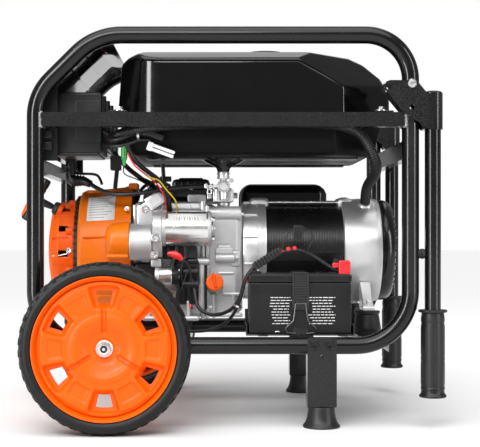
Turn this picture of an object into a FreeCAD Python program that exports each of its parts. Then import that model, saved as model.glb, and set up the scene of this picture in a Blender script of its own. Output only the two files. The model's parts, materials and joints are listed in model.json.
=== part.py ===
import FreeCAD, Part
import math
import os

# Portable generator set: engine and alternator hung in a tube frame on two wheels.
# Millimetres. X runs along the machine from the recoil starter to the carrying handles,
# Y across it from the battery side (front) to the exhaust side (rear), Z up from the floor.
# The model is drawn about the middle of the frame and moved to the middle of its box at the end.

V = FreeCAD.Vector
UP = V(0, 0, 1)
ALONG = {"x": V(1, 0, 0), "y": V(0, 1, 0), "z": V(0, 0, 1)}

# --- driving dimensions ---
BOX_CENTRE_X = 4.5  # middle of the whole machine, seen from the middle of the frame
FIT = 0.05  # radial clearance of a running fit
GAP = 0.4  # clearance between pieces that pass each other

TUBE_R = 15.0  # frame tube
TUBE_WALL = 1.8
LOOP_X = 327.0  # centreline of the upright tubes
LOOP_Y = 235.0  # centreline of each side loop
LOOP_LOW = 142.0
LOOP_TOP = 683.5
SLOPE_X = -222.0  # where the sloped corner meets the top tube
SLOPE_Z = 579.0  # where it meets the upright
RUNG_LOW = 523.0  # square rung along each side loop
RUNG = 25.0
SHEET = 2.5

WHEEL_X = -198.5
WHEEL_R = 145.0
WHEEL_WIDTH = 65.0
WHEEL_FACE = 346.0  # outer face of each wheel, from the middle
AXLE_R = 8.0
WINDOW_R = (76.0, 98.0)  # inner and outer radius of the wheel's windows
WINDOW_HALF = (10.0, 14.5)  # half width of a window at those radii

PIVOT_Z = 597.0  # handle hinge on the right uprights
LOCK_R = 41.0  # lock hole below the hinge
HANDLE_X = 366.0
HANDLE_R = 14.0

CRANK_Z = 306.0  # engine and alternator share this axis
SHAFT_R = 14.0
CASE_X = (-166.0, -32.0)
COVER_X = (-32.0, 38.0)
CASE_Y = 100.0
CASE_Z = (178.0, 398.0)
CASE_WALL = 6.0
STATOR_X = (83.0, 228.0)
STATOR_R = 89.0
BELL_X = (228.0, 299.0)
BELL_R = 99.0
CAM_Y = 30.0
CAM_Z = 241.0
CYLINDER_TILT = 25.0
CYLINDER_X = -98.0

STARTER_Y = -134.0
STARTER_Z = 346.0
PINION_Z = 324.0

TANK_X = (-189.0, 303.0)
TANK_Y = 205.0
TANK_TOP = 664.0
SHOULDER_Z = 647.0  # where the tank's side meets its sloping shoulder
SEAM_Z = 550.0
EAR_X = (-181.0, 276.0)  # tank bolts
CAP_X = 84.0
VALVE = V(2.0, -100.0, 428.0)

PANEL_X = -300.0
PANEL_Y = 205.0
PANEL_Z = (470.0, 596.0)
TAB_Z = (484.0, 504.0)  # lower edges of the tabs welded to the uprights
OUTLET_Y = (-60.0, 10.0, 80.0)
SWITCH_Y = (-158.0, -134.0)
SWITCH_Z = (538.0, 566.0)
SWITCH_PIN_X = -296.0
SWITCH_PIN_R = 1.5
BREAKER_Y = 150.0
BREAKER_Z = 530.0

BOX_BACK_X = -215.0
BOX_FRONT_Y = (-190.0, -65.0)  # the deeper part of the control box
BOX_REAR_Y = (-65.0, 190.0)
BOX_LOW = (479.0, 497.0)  # undersides of the two parts
BOX_TOP = 590.0

BATTERY_X = (46.0, 227.0)
BATTERY_Y = (-214.0, -137.0)
BATTERY_Z = (160.0, 265.0)
LEG_X = 171.6
LEG_WIDTH = 51.0
RAIL_X = (-85.0, 267.0)

GRIP_CENTRE = V(-353.0, -50.0, 402.0)
GRIP_LENGTH = 88.0
GRIP_R = 9.0
PULL = V(-0.917, 0.0, 0.399)  # direction in which the starter rope comes out
LEAN = V(0.485, 0.0, 0.875)  # long axis of the grip's bar
ROPE_EXIT = GRIP_CENTRE - PULL * 44.5
ROPE_R = 2.5
REEL_R = 58.0
POST_R = 8.0

OIL_MOUTH = V(-14.0, -124.0, 247.0)
OIL_AXIS = V(0, 1, -0.25).normalize()
CHOKE_X = 3.0
CHOKE_Z = 414.0
TIE_R = 3.0
TIE_Y = 25.0  # tie rods beside the crank's vertical plane
TIE_RISE = 92.0  # tie rods above and below the crank

CRANK_TEETH = 18
CAM_TEETH = 2 * CRANK_TEETH
GEAR_X = (-62.0, -50.0)
GEAR_MODULE = 2 * math.hypot(CAM_Y, CRANK_Z - CAM_Z) / (CRANK_TEETH + CAM_TEETH)
CAM_BEARING = math.degrees(math.atan2(CAM_Y, CRANK_Z - CAM_Z))
CRANK_GEAR_TURN = 180 + CAM_BEARING  # a tooth space faces the camshaft
CAM_GEAR_TURN = CAM_BEARING + 180 / CAM_TEETH  # a tooth faces the crankshaft

# Routes of the hoses and leads.
ELBOW_TOP = V(-284, -80, 477)
ELBOW_BEND = V(-284, -80, 438)
ELBOW_NECK = V(-257, -83, 437)
FUEL_HOSE = [
    V(-24, -100, 425), V(-44, -102, 424.5), V(-76, -112, 423), V(-118, -124, 417),
    V(-160, -126, 410), V(-198, -119, 409), V(-226, -103, 417), V(-246, -90, 430),
]
CONDUIT = [
    V(-214.7, -171, 508), V(-198, -171, 508), V(-189, -198, 511), V(-168, -213, 517),
    V(-130, -210, 524), V(-40, -209.5, 531), V(100, -210, 532), V(190, -210, 531),
    V(238, -210, 521), V(258, -210, 492), V(272, -203, 464), V(276, -175, 446),
    V(273, -135, 437), V(270, -98, 427), V(270, -66, 412), V(272, -50, 396),
]
BATTERY_LEAD = [
    V(205, -198, 271), V(195, -199, 275), V(181, -202, 284), V(158, -205, 300),
    V(130, -206, 311), V(100, -205, 304), V(74, -204, 290), V(52, -202, 276),
    V(38, -199, 254), V(33, -194, 228), V(22, -186, 206), V(0, -172, 192),
    V(-26, -160, 190), V(-46, -151, 204), V(-50, -142, 228), V(-54, -134, 250),
    V(-61, -131, 264), V(-70, -131, 269),
]


def block(x, y, z):
    return Part.makeBox(x[1] - x[0], y[1] - y[0], z[1] - z[0], V(x[0], y[0], z[0]))


def soft_block(x, y, z, radius):
    solid = block(x, y, z)
    return solid.makeFillet(radius, solid.Edges)


def rod(axis, start, stop, across, radius):
    """A round bar along an axis; across holds its other two coordinates in x, y, z order."""
    first, second = across
    base = {
        "x": V(start, first, second),
        "y": V(first, start, second),
        "z": V(first, second, start),
    }[axis]
    return Part.makeCylinder(radius, stop - start, base, ALONG[axis])


def ring(axis, start, stop, across, outer, inner):
    return rod(axis, start, stop, across, outer).cut(rod(axis, start - 1, stop + 1, across, inner))


def bar(start, stop, radius):
    return Part.makeCylinder(radius, start.distanceToPoint(stop), start, stop - start)


def fuse(shapes):
    return shapes[0].multiFuse(shapes[1:]).removeSplitter()


def cut(shape, tools):
    for tool in tools:
        shape = shape.cut(tool)
    return shape


def mirrored(shape):
    return shape.mirror(V(0, 0, 0), V(0, 1, 0))


def sheet_outline(points, y):
    """A flat plate whose outline is given in X and Z, from y[0] to y[1]."""
    corners = [V(px, y[0], pz) for px, pz in points]
    face = Part.Face(Part.makePolygon(corners + corners[:1]))
    return face.extrude(V(0, y[1] - y[0], 0))


def lathe(axis, across, points):
    """Points are (distance along the axis, radius), turned about it."""
    first, second = across
    if axis == "x":
        corners = [V(a, first, second + r) for a, r in points]
        base = V(0, first, second)
    elif axis == "y":
        corners = [V(first, a, second + r) for a, r in points]
        base = V(first, 0, second)
    else:
        corners = [V(first + r, second, a) for a, r in points]
        base = V(first, second, 0)
    face = Part.Face(Part.makePolygon(corners + corners[:1]))
    return face.revolve(base, ALONG[axis], 360)


def hexagon(axis, start, stop, across, flats):
    solid = rod(axis, start, stop, across, flats / math.sqrt(3))
    middle = V(*{"y": (across[0], 0, across[1]), "z": (across[0], across[1], 0)}[axis])
    centre = middle + ALONG[axis] * (start + stop) / 2
    span = 4 * flats
    for turn in (0, 60, 120):
        slab = Part.makeBox(flats, span, span, V(-flats / 2, -span / 2, -span / 2))
        if axis == "z":
            slab.rotate(V(0, 0, 0), V(0, 0, 1), turn)
        else:
            slab.rotate(V(0, 0, 0), V(0, 1, 0), turn)
        slab.translate(centre)
        solid = solid.common(slab)
    return solid


# --- bent tubes and cords ---
def bent_path(points, radii, closed):
    """Edges of straight runs joined by tangent arcs; a radius for each corner."""
    count = len(points)
    corners = range(count) if closed else range(1, count - 1)
    bends = {}
    for i in corners:
        before, here, after = points[i - 1], points[i], points[(i + 1) % count]
        inward = (before - here).normalize()
        onward = (after - here).normalize()
        half_turn = (math.pi - inward.getAngle(onward)) / 2
        reach = radii[i] * math.tan(half_turn)
        start = here + inward * reach
        stop = here + onward * reach
        bisector = (inward + onward).normalize()
        middle = here + bisector * (radii[i] / math.cos(half_turn) - radii[i])
        bends[i] = (start, middle, stop)
    edges = []
    for i in range(count if closed else count - 1):
        j = (i + 1) % count
        start = bends[i][2] if i in bends else points[i]
        stop = bends[j][0] if j in bends else points[j]
        edges.append(Part.LineSegment(start, stop).toShape())
        if j in bends:
            edges.append(Part.Arc(*bends[j]).toShape())
    return edges


def swept(edges, radius):
    """A round bar along a path, built segment by segment, so that every end face is exact."""
    solids = []
    for edge in edges:
        start = edge.valueAt(edge.FirstParameter)
        tangent = edge.tangentAt(edge.FirstParameter)
        face = Part.Face(Part.Wire(Part.Circle(start, tangent, radius).toShape()))
        if edge.Curve.TypeId == "Part::GeomLine":
            solids.append(face.extrude(tangent * edge.Length))
        else:
            circle = edge.Curve
            angle = math.degrees(edge.Length / circle.Radius)
            to_start = start - circle.Center
            axis = to_start.cross(tangent)
            solids.append(face.revolve(circle.Center, axis, angle))
    return fuse(solids)


def cord(name, points, diameter):
    """A hose or lead along its route; every arc takes 0.45 of its shorter run."""
    radii = [0.0] * len(points)
    for i in range(1, len(points) - 1):
        inward = points[i - 1] - points[i]
        onward = points[i + 1] - points[i]
        half_turn = (math.pi - inward.getAngle(onward)) / 2
        radii[i] = 0.45 * min(inward.Length, onward.Length) / math.tan(half_turn)
    edges = bent_path(points, radii, False)
    solid = swept(edges, diameter / 2)
    length = sum(edge.Length for edge in edges)
    share = solid.Volume / (math.pi * diameter**2 / 4 * length)
    shown = " ".join(f"{r:.0f}" for r in radii[1:-1])
    print(f"{name}: length {length:.0f}, volume share {share:.3f}, radii {shown}")
    return solid


# --- frame ---
def loop_bar(radius):
    """A round bar along the front side loop, with its sloped upper left corner."""
    y = -LOOP_Y
    corners = [
        (V(-LOOP_X, y, LOOP_LOW), 95.0),
        (V(-LOOP_X, y, SLOPE_Z), 90.0),
        (V(SLOPE_X, y, LOOP_TOP), 110.0),
        (V(LOOP_X, y, LOOP_TOP), 78.0),
        (V(LOOP_X, y, LOOP_LOW), 95.0),
    ]
    return swept(bent_path([p for p, _ in corners], [r for _, r in corners], True), radius)


def frame_loop():
    """Front side loop: one bent tube with a drain hole and the handle's two bolt holes."""
    y = -LOOP_Y
    drain = rod("z", LOOP_LOW - 20, LOOP_LOW, (0, y), 2.5)
    pivot = rod("y", y - 20, y + 20, (LOOP_X, PIVOT_Z), 4.0)
    lock = rod("y", y - 20, y + 20, (LOOP_X, PIVOT_Z - LOCK_R), 4.5)
    return cut(loop_bar(TUBE_R), [loop_bar(TUBE_R - TUBE_WALL), drain, pivot, lock])


def rungs():
    """Square tubes along both side loops that carry the tank, coped onto the uprights."""
    low, high = RUNG_LOW, RUNG_LOW + RUNG
    outer = block((-LOOP_X + 9, LOOP_X - 9), (-LOOP_Y - RUNG / 2, -LOOP_Y + RUNG / 2), (low, high))
    hollow = block(
        (-LOOP_X, LOOP_X), (-LOOP_Y - RUNG / 2 + 2, -LOOP_Y + RUNG / 2 - 2), (low + 2, high - 2)
    )
    uprights = [rod("z", low - 5, high + 5, (side * LOOP_X, -LOOP_Y), TUBE_R) for side in (-1, 1)]
    rung = cut(outer, [hollow] + uprights)
    return [rung, mirrored(rung)]


def cross_members():
    """Rectangular tubes between the two loops, one at each end."""
    made = []
    for x, low, high in ((-LOOP_X, 446.0, 468.0), (LOOP_X, 468.0, 500.0)):
        span = LOOP_Y - 8
        outer = block((x - 10, x + 10), (-span, span), (low, high))
        inner = block((x - 8, x + 8), (-span - 1, span + 1), (low + 2, high - 2))
        posts = [rod("z", low - 5, high + 5, (x, side * LOOP_Y), TUBE_R) for side in (-1, 1)]
        made.append(cut(outer, [inner] + posts))
    return made


def crossbars():
    """The four upper members welded between the uprights."""
    return Part.makeCompound(rungs() + cross_members())


def mount_rails():
    """Folded channels between the bottom tubes, one under the engine, one under the alternator."""
    made = []
    for x in RAIL_X:
        span = LOOP_Y - 5
        outer = block((x - 26, x + 26), (-span, span), (130.0, 156.0))
        inner = block((x - 23, x + 23), (-span - 1, span + 1), (129.0, 153.0))
        tubes = [loop_bar(TUBE_R), mirrored(loop_bar(TUBE_R))]
        holes = [rod("z", 150, 160, (x, side * 118.0), 4.5) for side in (-1, 1)]
        made.append(cut(outer, [inner] + tubes + holes))
    return Part.makeCompound(made)


def leg():
    """Folded channel bolted to the bottom tube, with its flanges notched for the tube."""
    x = (LEG_X - LEG_WIDTH / 2, LEG_X + LEG_WIDTH / 2)
    face_y = -LOOP_Y - TUBE_R
    outer = block(x, (face_y - SHEET, -LOOP_Y + 16), (36.0, 156.0))
    hollow = block(
        (x[0] + SHEET, x[1] - SHEET), (face_y, -LOOP_Y + 16 - SHEET), (30.0, 160.0)
    )
    notch = block((x[0] - 1, x[1] + 1), (face_y, -LOOP_Y + 20), (LOOP_LOW - TUBE_R, 160.0))
    ears = []
    for side in (-1, 1):
        edge = LEG_X + side * LEG_WIDTH / 2
        ears.append(
            sheet_outline(
                [(edge, 146.0), (edge, 160.0), (edge - side * 12, 160.0)],
                (face_y - SHEET - 1, face_y + 1),
            )
        )
    holes = [
        rod("y", face_y - 5, face_y + 1, (LEG_X + side * 13.0, 144.0), 4.0) for side in (-1, 1)
    ]
    return cut(outer, [hollow, notch] + ears + holes)


def feet():
    """Flared rubber feet, each with a plug that fills the end of its leg."""
    y = -LOOP_Y - 1.0
    flare = lathe(
        "z", (LEG_X, y), [(0, 0), (0, 31.0), (3, 32.5), (7, 29.0), (16, 25.0), (36, 23.0), (36, 0)]
    )
    plug = block((LEG_X - 21, LEG_X + 21), (y - 13.5, y + 13.5), (34.0, 54.0))
    foot = fuse([flare, plug])
    return Part.makeCompound([foot, mirrored(foot)])


def flanged_bolt(axis, seat, across, out, shank):
    """Bolt with its head outside the seat face: out is +1 or -1 along the axis."""
    ends = sorted((seat, seat + out * 1.6))
    washer = rod(axis, ends[0], ends[1], across, 9.0)
    ends = sorted((seat + out * 1.6, seat + out * 7.6))
    head = hexagon(axis, ends[0], ends[1], across, 13.0)
    ends = sorted((seat, seat - out * shank))
    return fuse([washer, head, rod(axis, ends[0], ends[1], across, 3.9)])


def frame_bolts():
    """Leg bolts, tank bolts and the two handle hinge bolts, all the same size."""
    face_y = -LOOP_Y - TUBE_R - SHEET
    front = [
        flanged_bolt("y", face_y, (LEG_X + side * 13.0, 144.0), -1, SHEET - 0.2) for side in (-1, 1)
    ]
    for x in EAR_X:
        front.append(flanged_bolt("z", SEAM_Z + 1.2, (x, -LOOP_Y), 1, 2.4))
    hinge_seat = -LOOP_Y - TUBE_R - GAP - 4.0
    hinge = flanged_bolt("y", hinge_seat - GAP, (LOOP_X, PIVOT_Z), -1, 45.0)
    front.append(hinge)
    return Part.makeCompound(front + [mirrored(bolt) for bolt in front])


def axle_bracket():
    """Plate welded to the bottom tube, with the stub axle that carries the wheel."""
    plate_y = -LOOP_Y - TUBE_R
    plate = sheet_outline(
        [(-232, 128), (-165, 128), (-165, 150), (-180, 172), (-217, 172), (-232, 150)],
        (plate_y - 4, plate_y),
    )
    hub_y = -WHEEL_FACE + WHEEL_WIDTH
    stub = rod("y", -WHEEL_FACE + 20, plate_y - 4, (WHEEL_X, WHEEL_R), AXLE_R)
    collar = rod("y", hub_y + 1, plate_y - 4, (WHEEL_X, WHEEL_R), 13.0)
    thread = rod("y", -WHEEL_FACE + 8, -WHEEL_FACE + 20, (WHEEL_X, WHEEL_R), 6.0)
    return fuse([plate, stub, collar, thread])


def axle_nuts():
    across = (WHEEL_X, WHEEL_R)
    start = -WHEEL_FACE
    washer = ring("y", start + 17, start + 19.6, across, 14.5, 6.0)
    nut = hexagon("y", start + 9.5, start + 17, across, 22.0)
    nut = nut.cut(rod("y", start, start + 20, across, 6.0))
    whole = fuse([washer, nut])
    return Part.makeCompound([whole, mirrored(whole)])


def handle_bumpers():
    """Rubber stops on the uprights that the hanging handles lean on."""
    reach = HANDLE_X - HANDLE_R - 0.3
    bumper = rod("x", LOOP_X + 10, reach, (-LOOP_Y, 302.0), 9.0)
    bumper = bumper.cut(rod("z", 280, 325, (LOOP_X, -LOOP_Y), TUBE_R))
    return Part.makeCompound([bumper, mirrored(bumper)])


# --- wheels ---
def wheel_rim():
    """One-piece plastic wheel: barrel, dished disc with six windows, ribs and hub."""
    across = (WHEEL_X, WHEEL_R)
    face = -WHEEL_FACE
    barrel = ring("y", face + 6, face + 59, across, 118.3, 113.5)
    lip = ring("y", face + 2, face + 6, across, 121.5, 113.5)
    back_lip = ring("y", face + 59, face + 62, across, 121.5, 113.5)
    front_line = [(20, 16), (20, 26), (8, 44), (6, 50), (6, 104), (15, 110), (15, 115)]
    back_line = [(a + 4, r) for a, r in reversed(front_line)]
    disc = lathe("y", across, [(face + a, r) for a, r in front_line + back_line])
    hub = rod("y", face + 20, face + 60, across, 21.0)
    ribs = []
    for turn in range(0, 360, 60):
        rib = block(
            (WHEEL_X + 18, WHEEL_X + 115), (face + 19, face + 50), (WHEEL_R - 1.8, WHEEL_R + 1.8)
        )
        rib.rotate(V(WHEEL_X, 0, WHEEL_R), V(0, 1, 0), turn)
        ribs.append(rib)
    bore = rod("y", face - 1, face + 70, across, AXLE_R + FIT)
    windows = []
    for turn in range(30, 390, 60):
        window = sheet_outline(
            [
                (WHEEL_X + WINDOW_R[0], WHEEL_R - WINDOW_HALF[0]),
                (WHEEL_X + WINDOW_R[0], WHEEL_R + WINDOW_HALF[0]),
                (WHEEL_X + WINDOW_R[1], WHEEL_R + WINDOW_HALF[1]),
                (WHEEL_X + WINDOW_R[1], WHEEL_R - WINDOW_HALF[1]),
            ],
            (face - 1, face + 30),
        )
        window.rotate(V(WHEEL_X, 0, WHEEL_R), V(0, 1, 0), turn)
        windows.append(window)
    solid = fuse([barrel, lip, back_lip, disc, hub] + ribs)
    return cut(solid, [bore] + windows)


def tyre():
    profile = [
        (6, 118.3), (59, 118.3), (59, 121.5), (62, 123.5), (65, 130), (62, 139), (56, 145),
        (9, 145), (3, 139), (0, 130), (3, 123.5), (6, 121.5),
    ]
    return lathe("y", (WHEEL_X, WHEEL_R), [(a - WHEEL_FACE, r) for a, r in profile])


# --- folding carrying handles ---
def handle():
    """Two hinge plates, the sleeve welded between them and the handle tube, hanging down."""
    outline = [
        (-45, 3), (-38, 5.6), (9, 5.6), (13, -1), (27, -18), (39, -18), (39, -79), (21, -79),
        (14, -69), (-15, -50), (-37, -23), (-48, -9),
    ]
    points = [(LOOP_X + a, PIVOT_Z + b) for a, b in outline]
    inner_gap = TUBE_R + GAP
    plates = [
        sheet_outline(points, (-LOOP_Y - inner_gap - 3.6, -LOOP_Y - inner_gap)),
        sheet_outline(points, (-LOOP_Y + inner_gap, -LOOP_Y + inner_gap + 3.6)),
    ]
    across = (HANDLE_X, -LOOP_Y)
    sleeve = rod("z", PIVOT_Z - 79, PIVOT_Z - 15, across, 17.0)
    bridge = block(
        (LOOP_X + TUBE_R + 5, HANDLE_X),
        (-LOOP_Y - inner_gap - 1, -LOOP_Y + inner_gap + 1),
        (PIVOT_Z - 79, PIVOT_Z - 20),
    )
    tube = rod("z", 60.0, PIVOT_Z - 40, across, HANDLE_R)
    bore = rod("z", 50.0, PIVOT_Z - 90, across, HANDLE_R - TUBE_WALL)
    whole = fuse(plates + [sleeve, bridge, tube])
    hinge_hole = rod("y", -LOOP_Y - 30, -LOOP_Y + 30, (LOOP_X, PIVOT_Z), 3.9 + FIT)
    lock_hole = rod("y", -LOOP_Y - 30, -LOOP_Y + 30, (LOOP_X, PIVOT_Z - LOCK_R), 4.5)
    lobe_hole = rod(
        "y", -LOOP_Y - 30, -LOOP_Y + 30, (LOOP_X - LOCK_R * 0.988, PIVOT_Z - LOCK_R * 0.156), 4.5
    )
    return cut(whole, [bore, hinge_hole, lock_hole, lobe_hole])


def handle_grip():
    """Closed-end rubber grip with a guard flange at its top and a lip at its bottom."""
    outside = [
        (52, 0), (52, 22.5), (54, 23.7), (57, 22.5), (60, 20), (64, 20.5), (185, 20.5),
        (188, 19.5), (199, 19.5), (200.5, 25), (204.5, 25), (204.5, HANDLE_R), (60, HANDLE_R),
        (60, 0),
    ]
    return lathe("z", (HANDLE_X, -LOOP_Y), outside)


# --- fuel tank ---
def beyond(point, normal):
    """Everything on the far side of a plane, as a large block."""
    size = 2000.0
    solid = Part.makeBox(size, size, size, V(-size / 2, -size / 2, 0))
    solid.Placement = FreeCAD.Placement(point, FreeCAD.Rotation(V(0, 0, 1), normal))
    return solid


def tank_upper(inset):
    """Pressing with a bevelled top, a falling right end and cut-off corners."""
    planes = [
        (V(-182, 0, 642), V(-0.65, 0, 0.76)),
        (V(-168, 0, 654), V(-0.336, 0, 0.94)),
        (V(150, 0, TANK_TOP), V(0.088, 0, 0.996)),
        (V(229, 0, 657), V(0.406, 0, 0.914)),
        (V(256, 0, 645), V(0.654, 0, 0.756)),
        (V(290, 0, 613), V(0.93, 0, 0.36)),
    ]
    for side in (-1, 1):
        edge = side * TANK_Y
        planes += [
            (V(0, edge, SHOULDER_Z), V(0, side * 0.458, 0.889)),
            (V(-132, edge, 600), V(-0.595, side * 0.803, 0)),
            (V(215, edge, 600), V(0.513, side * 0.858, 0)),
            (V(149, edge, 637), V(0.376, side * 0.673, 0.637)),
        ]
    half = TANK_Y - inset
    solid = block(
        (TANK_X[0] + inset, TANK_X[1] - inset), (-half, half), (SEAM_Z - 6, TANK_TOP - inset)
    )
    return cut(solid, [beyond(point - normal * inset, normal) for point, normal in planes])


def tank_lower(inset):
    low = 478.0 + inset
    body = block(
        (-172 + inset, 286 - inset), (-TANK_Y + inset + 8, TANK_Y - inset - 8), (low, SEAM_Z + 5)
    )
    return body.makeChamfer(14, [e for e in body.Edges if abs(e.BoundBox.ZMax - low) < 0.1])


def fuel_tank():
    """Welded steel tank: upper and lower pressings, seam flange, sump, filler neck and ears."""
    outer = fuse([tank_upper(0.0), tank_lower(0.0)])
    inner = fuse([tank_upper(2.0), tank_lower(2.0)])
    flange = block((TANK_X[0] - 4, TANK_X[1] + 4), (-TANK_Y - 6, TANK_Y + 6), (SEAM_Z - 2, SEAM_Z))
    ears = [
        block((x - 17, x + 17), (-LOOP_Y - 9, LOOP_Y + 9), (SEAM_Z - 1.8, SEAM_Z + 1.2))
        for x in EAR_X
    ]
    sump = lathe(
        "z", (VALVE.x, VALVE.y), [(452, 0), (452, 11), (460, 16), (470, 34), (482, 44), (482, 0)]
    )
    neck = rod("z", 655, 680, (CAP_X, 0), 28.0)
    outlet = rod("z", 440, 490, (VALVE.x, VALVE.y), 3.0)
    mouth = rod("z", 640, 690, (CAP_X, 0), 25.0)
    bolt_holes = [
        rod("z", SEAM_Z - 5, SEAM_Z + 5, (x, side * LOOP_Y), 4.2)
        for x in EAR_X
        for side in (-1, 1)
    ]
    return cut(fuse([outer, flange, sump, neck] + ears), [inner, outlet, mouth] + bolt_holes)


def fuel_cap():
    """Low dome over the filler neck, with eight grip notches."""
    dome = lathe(
        "z",
        (CAP_X, 0),
        [(673.5, 29), (673.5, 38), (682, 39), (688, 36), (691, 26), (692, 12), (692, 0),
         (680.6, 0), (680.6, 29)],
    )
    notches = []
    for turn in range(0, 360, 45):
        notch = rod("z", 670, 695, (CAP_X + 43, 0), 7.0)
        notch.rotate(V(CAP_X, 0, 0), UP, turn)
        notches.append(notch)
    return cut(dome, notches)


def fuel_valve():
    """Petcock screwed into the sump: union nut, round body and hose barb."""
    x, y, z = VALVE
    nut = hexagon("z", 439, 452, (x, y), 20.0)
    stem = rod("z", z - 8, 440, (x, y), 6.0)
    body = rod("y", y - 9, y + 9, (x, z - 3), 12.0)
    barb = rod("x", x - 26, x, (y, z - 3), 3.6)
    drain_bowl = rod("z", z - 26, z - 12, (x, y), 8.0)
    return fuse([nut, stem, body, barb, drain_bowl])


def fuel_valve_lever():
    """Flat lever on the front of the petcock, lying level when open."""
    x, y, z = VALVE
    front = y - 9 - 0.3
    disc = rod("y", front - 4, front, (x, z - 3), 9.0)
    arm = block((x - 30, x), (front - 4, front - 1), (z - 7, z + 1))
    pad = block((x - 34, x - 28), (front - 10, front - 1), (z - 8, z + 2))
    return fuse([disc, arm, pad])


# --- control end ---
def control_panel():
    """Bent sheet: upright control face, 45 degree hood under the sloped tubes, level top edge."""
    t = 2.0
    low, bend = PANEL_Z
    top_x = SLOPE_X
    top_z = bend + (top_x - PANEL_X)
    section = [
        (PANEL_X - t, low), (PANEL_X, low), (PANEL_X, bend - 1), (top_x + 1, top_z - t),
        (-194, top_z - t), (-194, top_z), (top_x, top_z), (PANEL_X - t, bend),
    ]
    sheet = sheet_outline(section, (-PANEL_Y, PANEL_Y))
    tabs = [
        block((PANEL_X - 16, PANEL_X - t), (side * 212 - 14, side * 212 + 14), (z, z + 16))
        for side in (-1, 1)
        for z in TAB_Z
    ]
    middle = (SWITCH_Z[0] + SWITCH_Z[1]) / 2
    ears = [
        block((PANEL_X - 1, SWITCH_PIN_X + 4), (y, y + 2), (middle - 4, middle + 4))
        for y in (SWITCH_Y[0] - 2, SWITCH_Y[1])
    ]
    uprights = [rod("z", low, bend, (-LOOP_X, side * LOOP_Y), TUBE_R) for side in (-1, 1)]
    openings = [rod("x", PANEL_X - 5, PANEL_X + 5, (y, 530.0), 20.2) for y in OUTLET_Y]
    openings.append(block((PANEL_X - 5, PANEL_X + 5), SWITCH_Y, SWITCH_Z))
    openings.append(rod("x", PANEL_X - 5, PANEL_X + 5, (BREAKER_Y, BREAKER_Z), 5.0 + FIT))
    openings.append(
        rod("y", SWITCH_Y[0] - 5, SWITCH_Y[1] + 5, (SWITCH_PIN_X, middle), SWITCH_PIN_R + FIT)
    )
    return cut(fuse([sheet] + tabs + ears), openings + uprights)


def control_box():
    """Plastic housing behind the control face, deeper at the front, with a hose elbow below."""
    x = (PANEL_X, BOX_BACK_X)
    shells = []
    hollows = []
    for y, low in ((BOX_FRONT_Y, BOX_LOW[0]), (BOX_REAR_Y, BOX_LOW[1])):
        outer = block(x, y, (low, BOX_TOP))
        outer = outer.makeFillet(8, [e for e in outer.Edges if abs(e.CenterOfMass.x - x[1]) < 0.1])
        lip = block((x[0], x[1] - 6), (y[0], y[1]), (low - 3, low))
        shells += [outer, lip]
        hollows.append(block((x[0] - 1, x[1] - 3), (y[0] + 3, y[1] - 3), (low + 3, BOX_TOP - 3)))
    passage = (BOX_FRONT_Y[1] - 4, BOX_REAR_Y[0] + 4)
    hollows.append(block((x[0] - 1, x[1] - 3), passage, (BOX_LOW[1] + 3, BOX_TOP - 3)))
    drop = bar(ELBOW_TOP, ELBOW_BEND, 9.0)
    elbow = bar(ELBOW_BEND, ELBOW_NECK, 9.0)
    mouth = bar(ELBOW_NECK, FUEL_HOSE[-1], 7.0)
    ball = Part.makeSphere(9.0, ELBOW_BEND)
    return fuse([cut(fuse(shells), hollows), drop, ball, elbow, mouth])


def outlet_sockets():
    """Three identical round outlets with recessed faces and three blade slots each."""
    made = []
    for y in OUTLET_Y:
        body = rod("x", PANEL_X - 2, -262.0, (y, 530.0), 20.0)
        flange = ring("x", PANEL_X - 7, PANEL_X - 2, (y, 530.0), 26.0, 17.0)
        slots = [
            block((PANEL_X - 8, PANEL_X + 10), (y - 7.5, y - 5.5), (528.0, 538.0)),
            block((PANEL_X - 8, PANEL_X + 10), (y + 5.5, y + 7.5), (528.0, 538.0)),
            rod("x", PANEL_X - 8, PANEL_X + 10, (y, 520.5), 2.5),
        ]
        made.append(cut(fuse([body, flange]), slots))
    return Part.makeCompound(made)


def engine_switch():
    """Rocker that stops, runs and starts the engine, on pins in the panel's two ears."""
    y = (SWITCH_Y[0] + GAP, SWITCH_Y[1] - GAP)
    middle = (SWITCH_Z[0] + SWITCH_Z[1]) / 2
    outline = [
        (PANEL_X - 9, middle + 9), (PANEL_X - 4, middle), (PANEL_X - 6, middle - 9),
        (PANEL_X + 4, middle - 7), (PANEL_X + 7, middle), (PANEL_X + 4, middle + 7),
    ]
    pins = rod("y", SWITCH_Y[0] - 2, SWITCH_Y[1] + 2, (SWITCH_PIN_X, middle), SWITCH_PIN_R)
    return fuse([sheet_outline(outline, y), pins])


def breaker_button():
    """Push-to-reset button of the circuit breaker."""
    across = (BREAKER_Y, BREAKER_Z)
    head = rod("x", PANEL_X - 11, PANEL_X - 6, across, 6.5)
    stem = rod("x", PANEL_X - 6, PANEL_X + 14, across, 5.0)
    return fuse([head, stem])


# --- engine ---
def recoil_cover():
    """Dished starter cover with air slots, held to the blower housing by its rim."""
    across = (0, CRANK_Z)
    outer = lathe(
        "x", across,
        [(-330, 0), (-330, 62), (-322, 86), (-312, 93), (-281, 93), (-281, 100), (-278.3, 100),
         (-278.3, 90), (-309, 90), (-319, 84), (-327, 61), (-327, 0)],
    )
    slots = []
    for turn in range(0, 360, 30):
        slot = block((-305, -287), (-7, 7), (CRANK_Z + 80, CRANK_Z + 100))
        slot.rotate(V(0, 0, CRANK_Z), V(1, 0, 0), turn + 15)
        slots.append(slot)
    guide = ROPE_EXIT
    tunnel = bar(guide - PULL * 12, guide + PULL * 14, ROPE_R + 2)
    boss = bar(guide - PULL * 6, guide + PULL * 8, 11.0)
    post = rod("x", -328, -292, across, POST_R)
    return cut(fuse([cut(outer, slots), boss, post]), [tunnel])


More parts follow.
